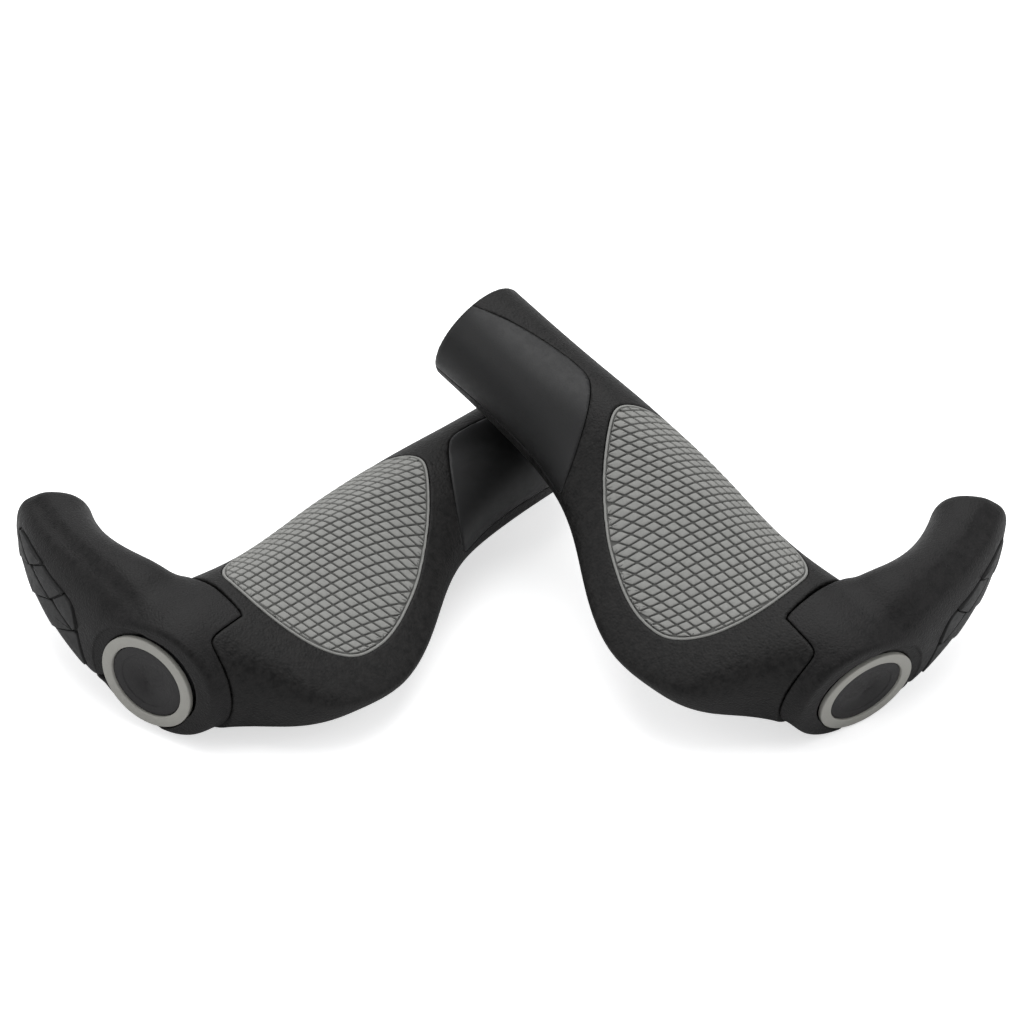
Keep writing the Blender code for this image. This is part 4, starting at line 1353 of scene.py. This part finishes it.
# ------------------------------------------------------------------ laying the pieces
# builder, material, body it rides, slot, piece it replaces
PIECES = (
    (grip_shell, "grip", "grip", "grip_rubber", "grip_body"),
    (thumb_shell, "sleeve", "grip", "sleeve_rubber", "thumb_sleeve"),
    (horn_shell, "nylon", "horn", "horn_nylon", "bar_end"),
    (palm_inlay, "pad", "grip", "pad_gel", "palm_pad"),
    (rib_insert, "ribs", "horn", "rib_rubber", "rib_pad"),
    (cap_band, "ring", "cap", "ring_plastic", "cap_ring"),
    (cap_face, "disc", "cap", "cap_plastic", "cap_disc"),
    (bar_tube, "core", "grip", "tube", "core"),
)
# pieces kept as they are: name, material
KEPT = (
    ("clamp_screw", "steel"), ("clamp_washer", "steel"), ("clamp_nut", "steel"),
    ("cap_plug", "core"),
)


def fill_mesh(mesh, verts, faces, flip):
    """Faces are an array of quads, or a list of mixed polygons."""
    if isinstance(faces, list):
        order = -1 if flip else 1
        mesh.from_pydata([tuple(v) for v in verts], [], [face[::order] for face in faces])
        return
    if flip:
        faces = faces[:, ::-1]
    mesh.vertices.add(len(verts))
    mesh.vertices.foreach_set("co", verts.reshape(-1).astype(np.float32))
    mesh.loops.add(faces.size)
    mesh.loops.foreach_set("vertex_index", faces.reshape(-1).astype(np.int32))
    mesh.polygons.add(len(faces))
    starts = np.arange(0, faces.size, faces.shape[1], dtype=np.int32)
    mesh.polygons.foreach_set("loop_start", starts)
    mesh.update(calc_edges=True)


def lay_piece(name, side, mat, verts, faces, level=None):
    at, axes = SIDES[side]
    mesh = bpy.data.meshes.new(name)
    fill_mesh(mesh, (at + verts @ axes) * MM, faces, flip=side == "right")
    mesh.validate()
    if level is not None:
        levels = mesh.attributes.new("level", "FLOAT", "POINT")
        levels.data.foreach_set("value", level.astype(np.float32))
    mesh.polygons.foreach_set("use_smooth", np.ones(len(mesh.polygons), bool))
    mesh.materials.append(mat)
    obj = bpy.data.objects.new(name, mesh)
    bpy.context.scene.collection.objects.link(obj)
    return obj


# each shape is made once and laid on both sides
shapes = [piece[0]() for piece in PIECES]
for side in SIDES:
    for shape, (builder, mat, body, slot, replaced) in zip(shapes, PIECES):
        obj = lay_piece(f"{side}_{builder.__name__}", side, MATERIALS[mat], *shape)
        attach(obj, f"{side}_{body}")
        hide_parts(f"{side}_{replaced}")
    for name, mat in KEPT:
        kept = frame["nodes"][f"{side}_{name}"]
        kept.data.materials.clear()
        kept.data.materials.append(MATERIALS[mat])

# ------------------------------------------------------------------ floor, light and camera
low, high = (Vector(corner) for corner in cad_box)
middle = (low + high) / 2
FLOOR_GAP = 0.0003
FLOOR_GLOW = 0.62  # extra brightness, only where the camera sees the floor itself


def floor_material():
    mat, tree, shader = new_material("floor_pale")
    shader.inputs["Base Color"].default_value = (0.86, 0.86, 0.86, 1)
    shader.inputs["Roughness"].default_value = 0.8
    shader.inputs["Specular IOR Level"].default_value = 0.1
    seen = add_node(tree, "ShaderNodeLightPath", {}).outputs["Is Camera Ray"]
    strength = math_node(tree, "MULTIPLY", seen, FLOOR_GLOW)
    glow = add_node(tree, "ShaderNodeEmission", {"Color": (1, 1, 1, 1), "Strength": strength})
    both = {0: shader.outputs["BSDF"], 1: glow.outputs["Emission"]}
    total = add_node(tree, "ShaderNodeAddShader", both).outputs["Shader"]
    tree.links.new(total, tree.nodes["Material Output"].inputs["Surface"])
    return mat


bpy.ops.mesh.primitive_plane_add(size=8.0, location=(middle.x, middle.y, low.z - FLOOR_GAP))
floor = bpy.context.active_object
floor.name = "floor"
floor.data.materials.append(floor_material())

world = bpy.data.worlds.new("studio")
bpy.context.scene.world = world
world.use_nodes = True
background = world.node_tree.nodes["Background"]
background.inputs["Color"].default_value = (0.97, 0.98, 1.0, 1)
background.inputs["Strength"].default_value = 0.42


def softbox(name, at, size, power):
    """Rectangular lamp aimed at the middle."""
    lamp = bpy.data.lights.new(name, "AREA")
    lamp.shape = "RECTANGLE"
    lamp.size, lamp.size_y = size
    lamp.energy = power
    obj = bpy.data.objects.new(name, lamp)
    bpy.context.scene.collection.objects.link(obj)
    obj.location = at
    obj.rotation_euler = (middle - at).to_track_quat("-Z", "Y").to_euler()


# directions over the floor, away from the camera and to its right
away = Vector((0.55, 0.55, 0))
across = Vector((0.707, -0.707, 0))
softbox("top_light", at=middle + Vector((0.10, 0.10, 1.25)), size=(1.1, 1.1), power=9.0)
softbox("back_light", at=middle + away * 1.1 + Vector((0, 0, 0.95)), size=(1.3, 0.8), power=6.0)
for name, reach in (("left_light", -1.1), ("right_light", 1.1)):
    spot = middle + across * reach + Vector((-0.1, -0.1, 0.8))
    softbox(name, at=spot, size=(0.8, 0.8), power=3.2)

CAMERA_RIGHT = (0.709755, -0.704447, 0.001311)
CAMERA_UP = (0.453616, 0.458457, 0.764232)
CAMERA_BACK = (-0.538962, -0.541823, 0.644941)
CAMERA_FROM_LEFT_GRIP = np.array((-810.299, -948.145, 1107.364))  # millimetres

camera = bpy.data.cameras.new("view")
camera.lens = 222.3525
camera.sensor_width = 36.0
camera.clip_start = 0.05
camera.clip_end = 50.0
eye = bpy.data.objects.new("view", camera)
bpy.context.scene.collection.objects.link(eye)
eye_at = (SIDES["left"][0] + CAMERA_FROM_LEFT_GRIP) * MM
facing = Matrix((CAMERA_RIGHT, CAMERA_UP, CAMERA_BACK)).transposed()
eye.matrix_world = Matrix.Translation(Vector(eye_at)) @ facing.to_4x4()
bpy.context.scene.camera = eye
bpy.context.scene.view_settings.view_transform = "Standard"
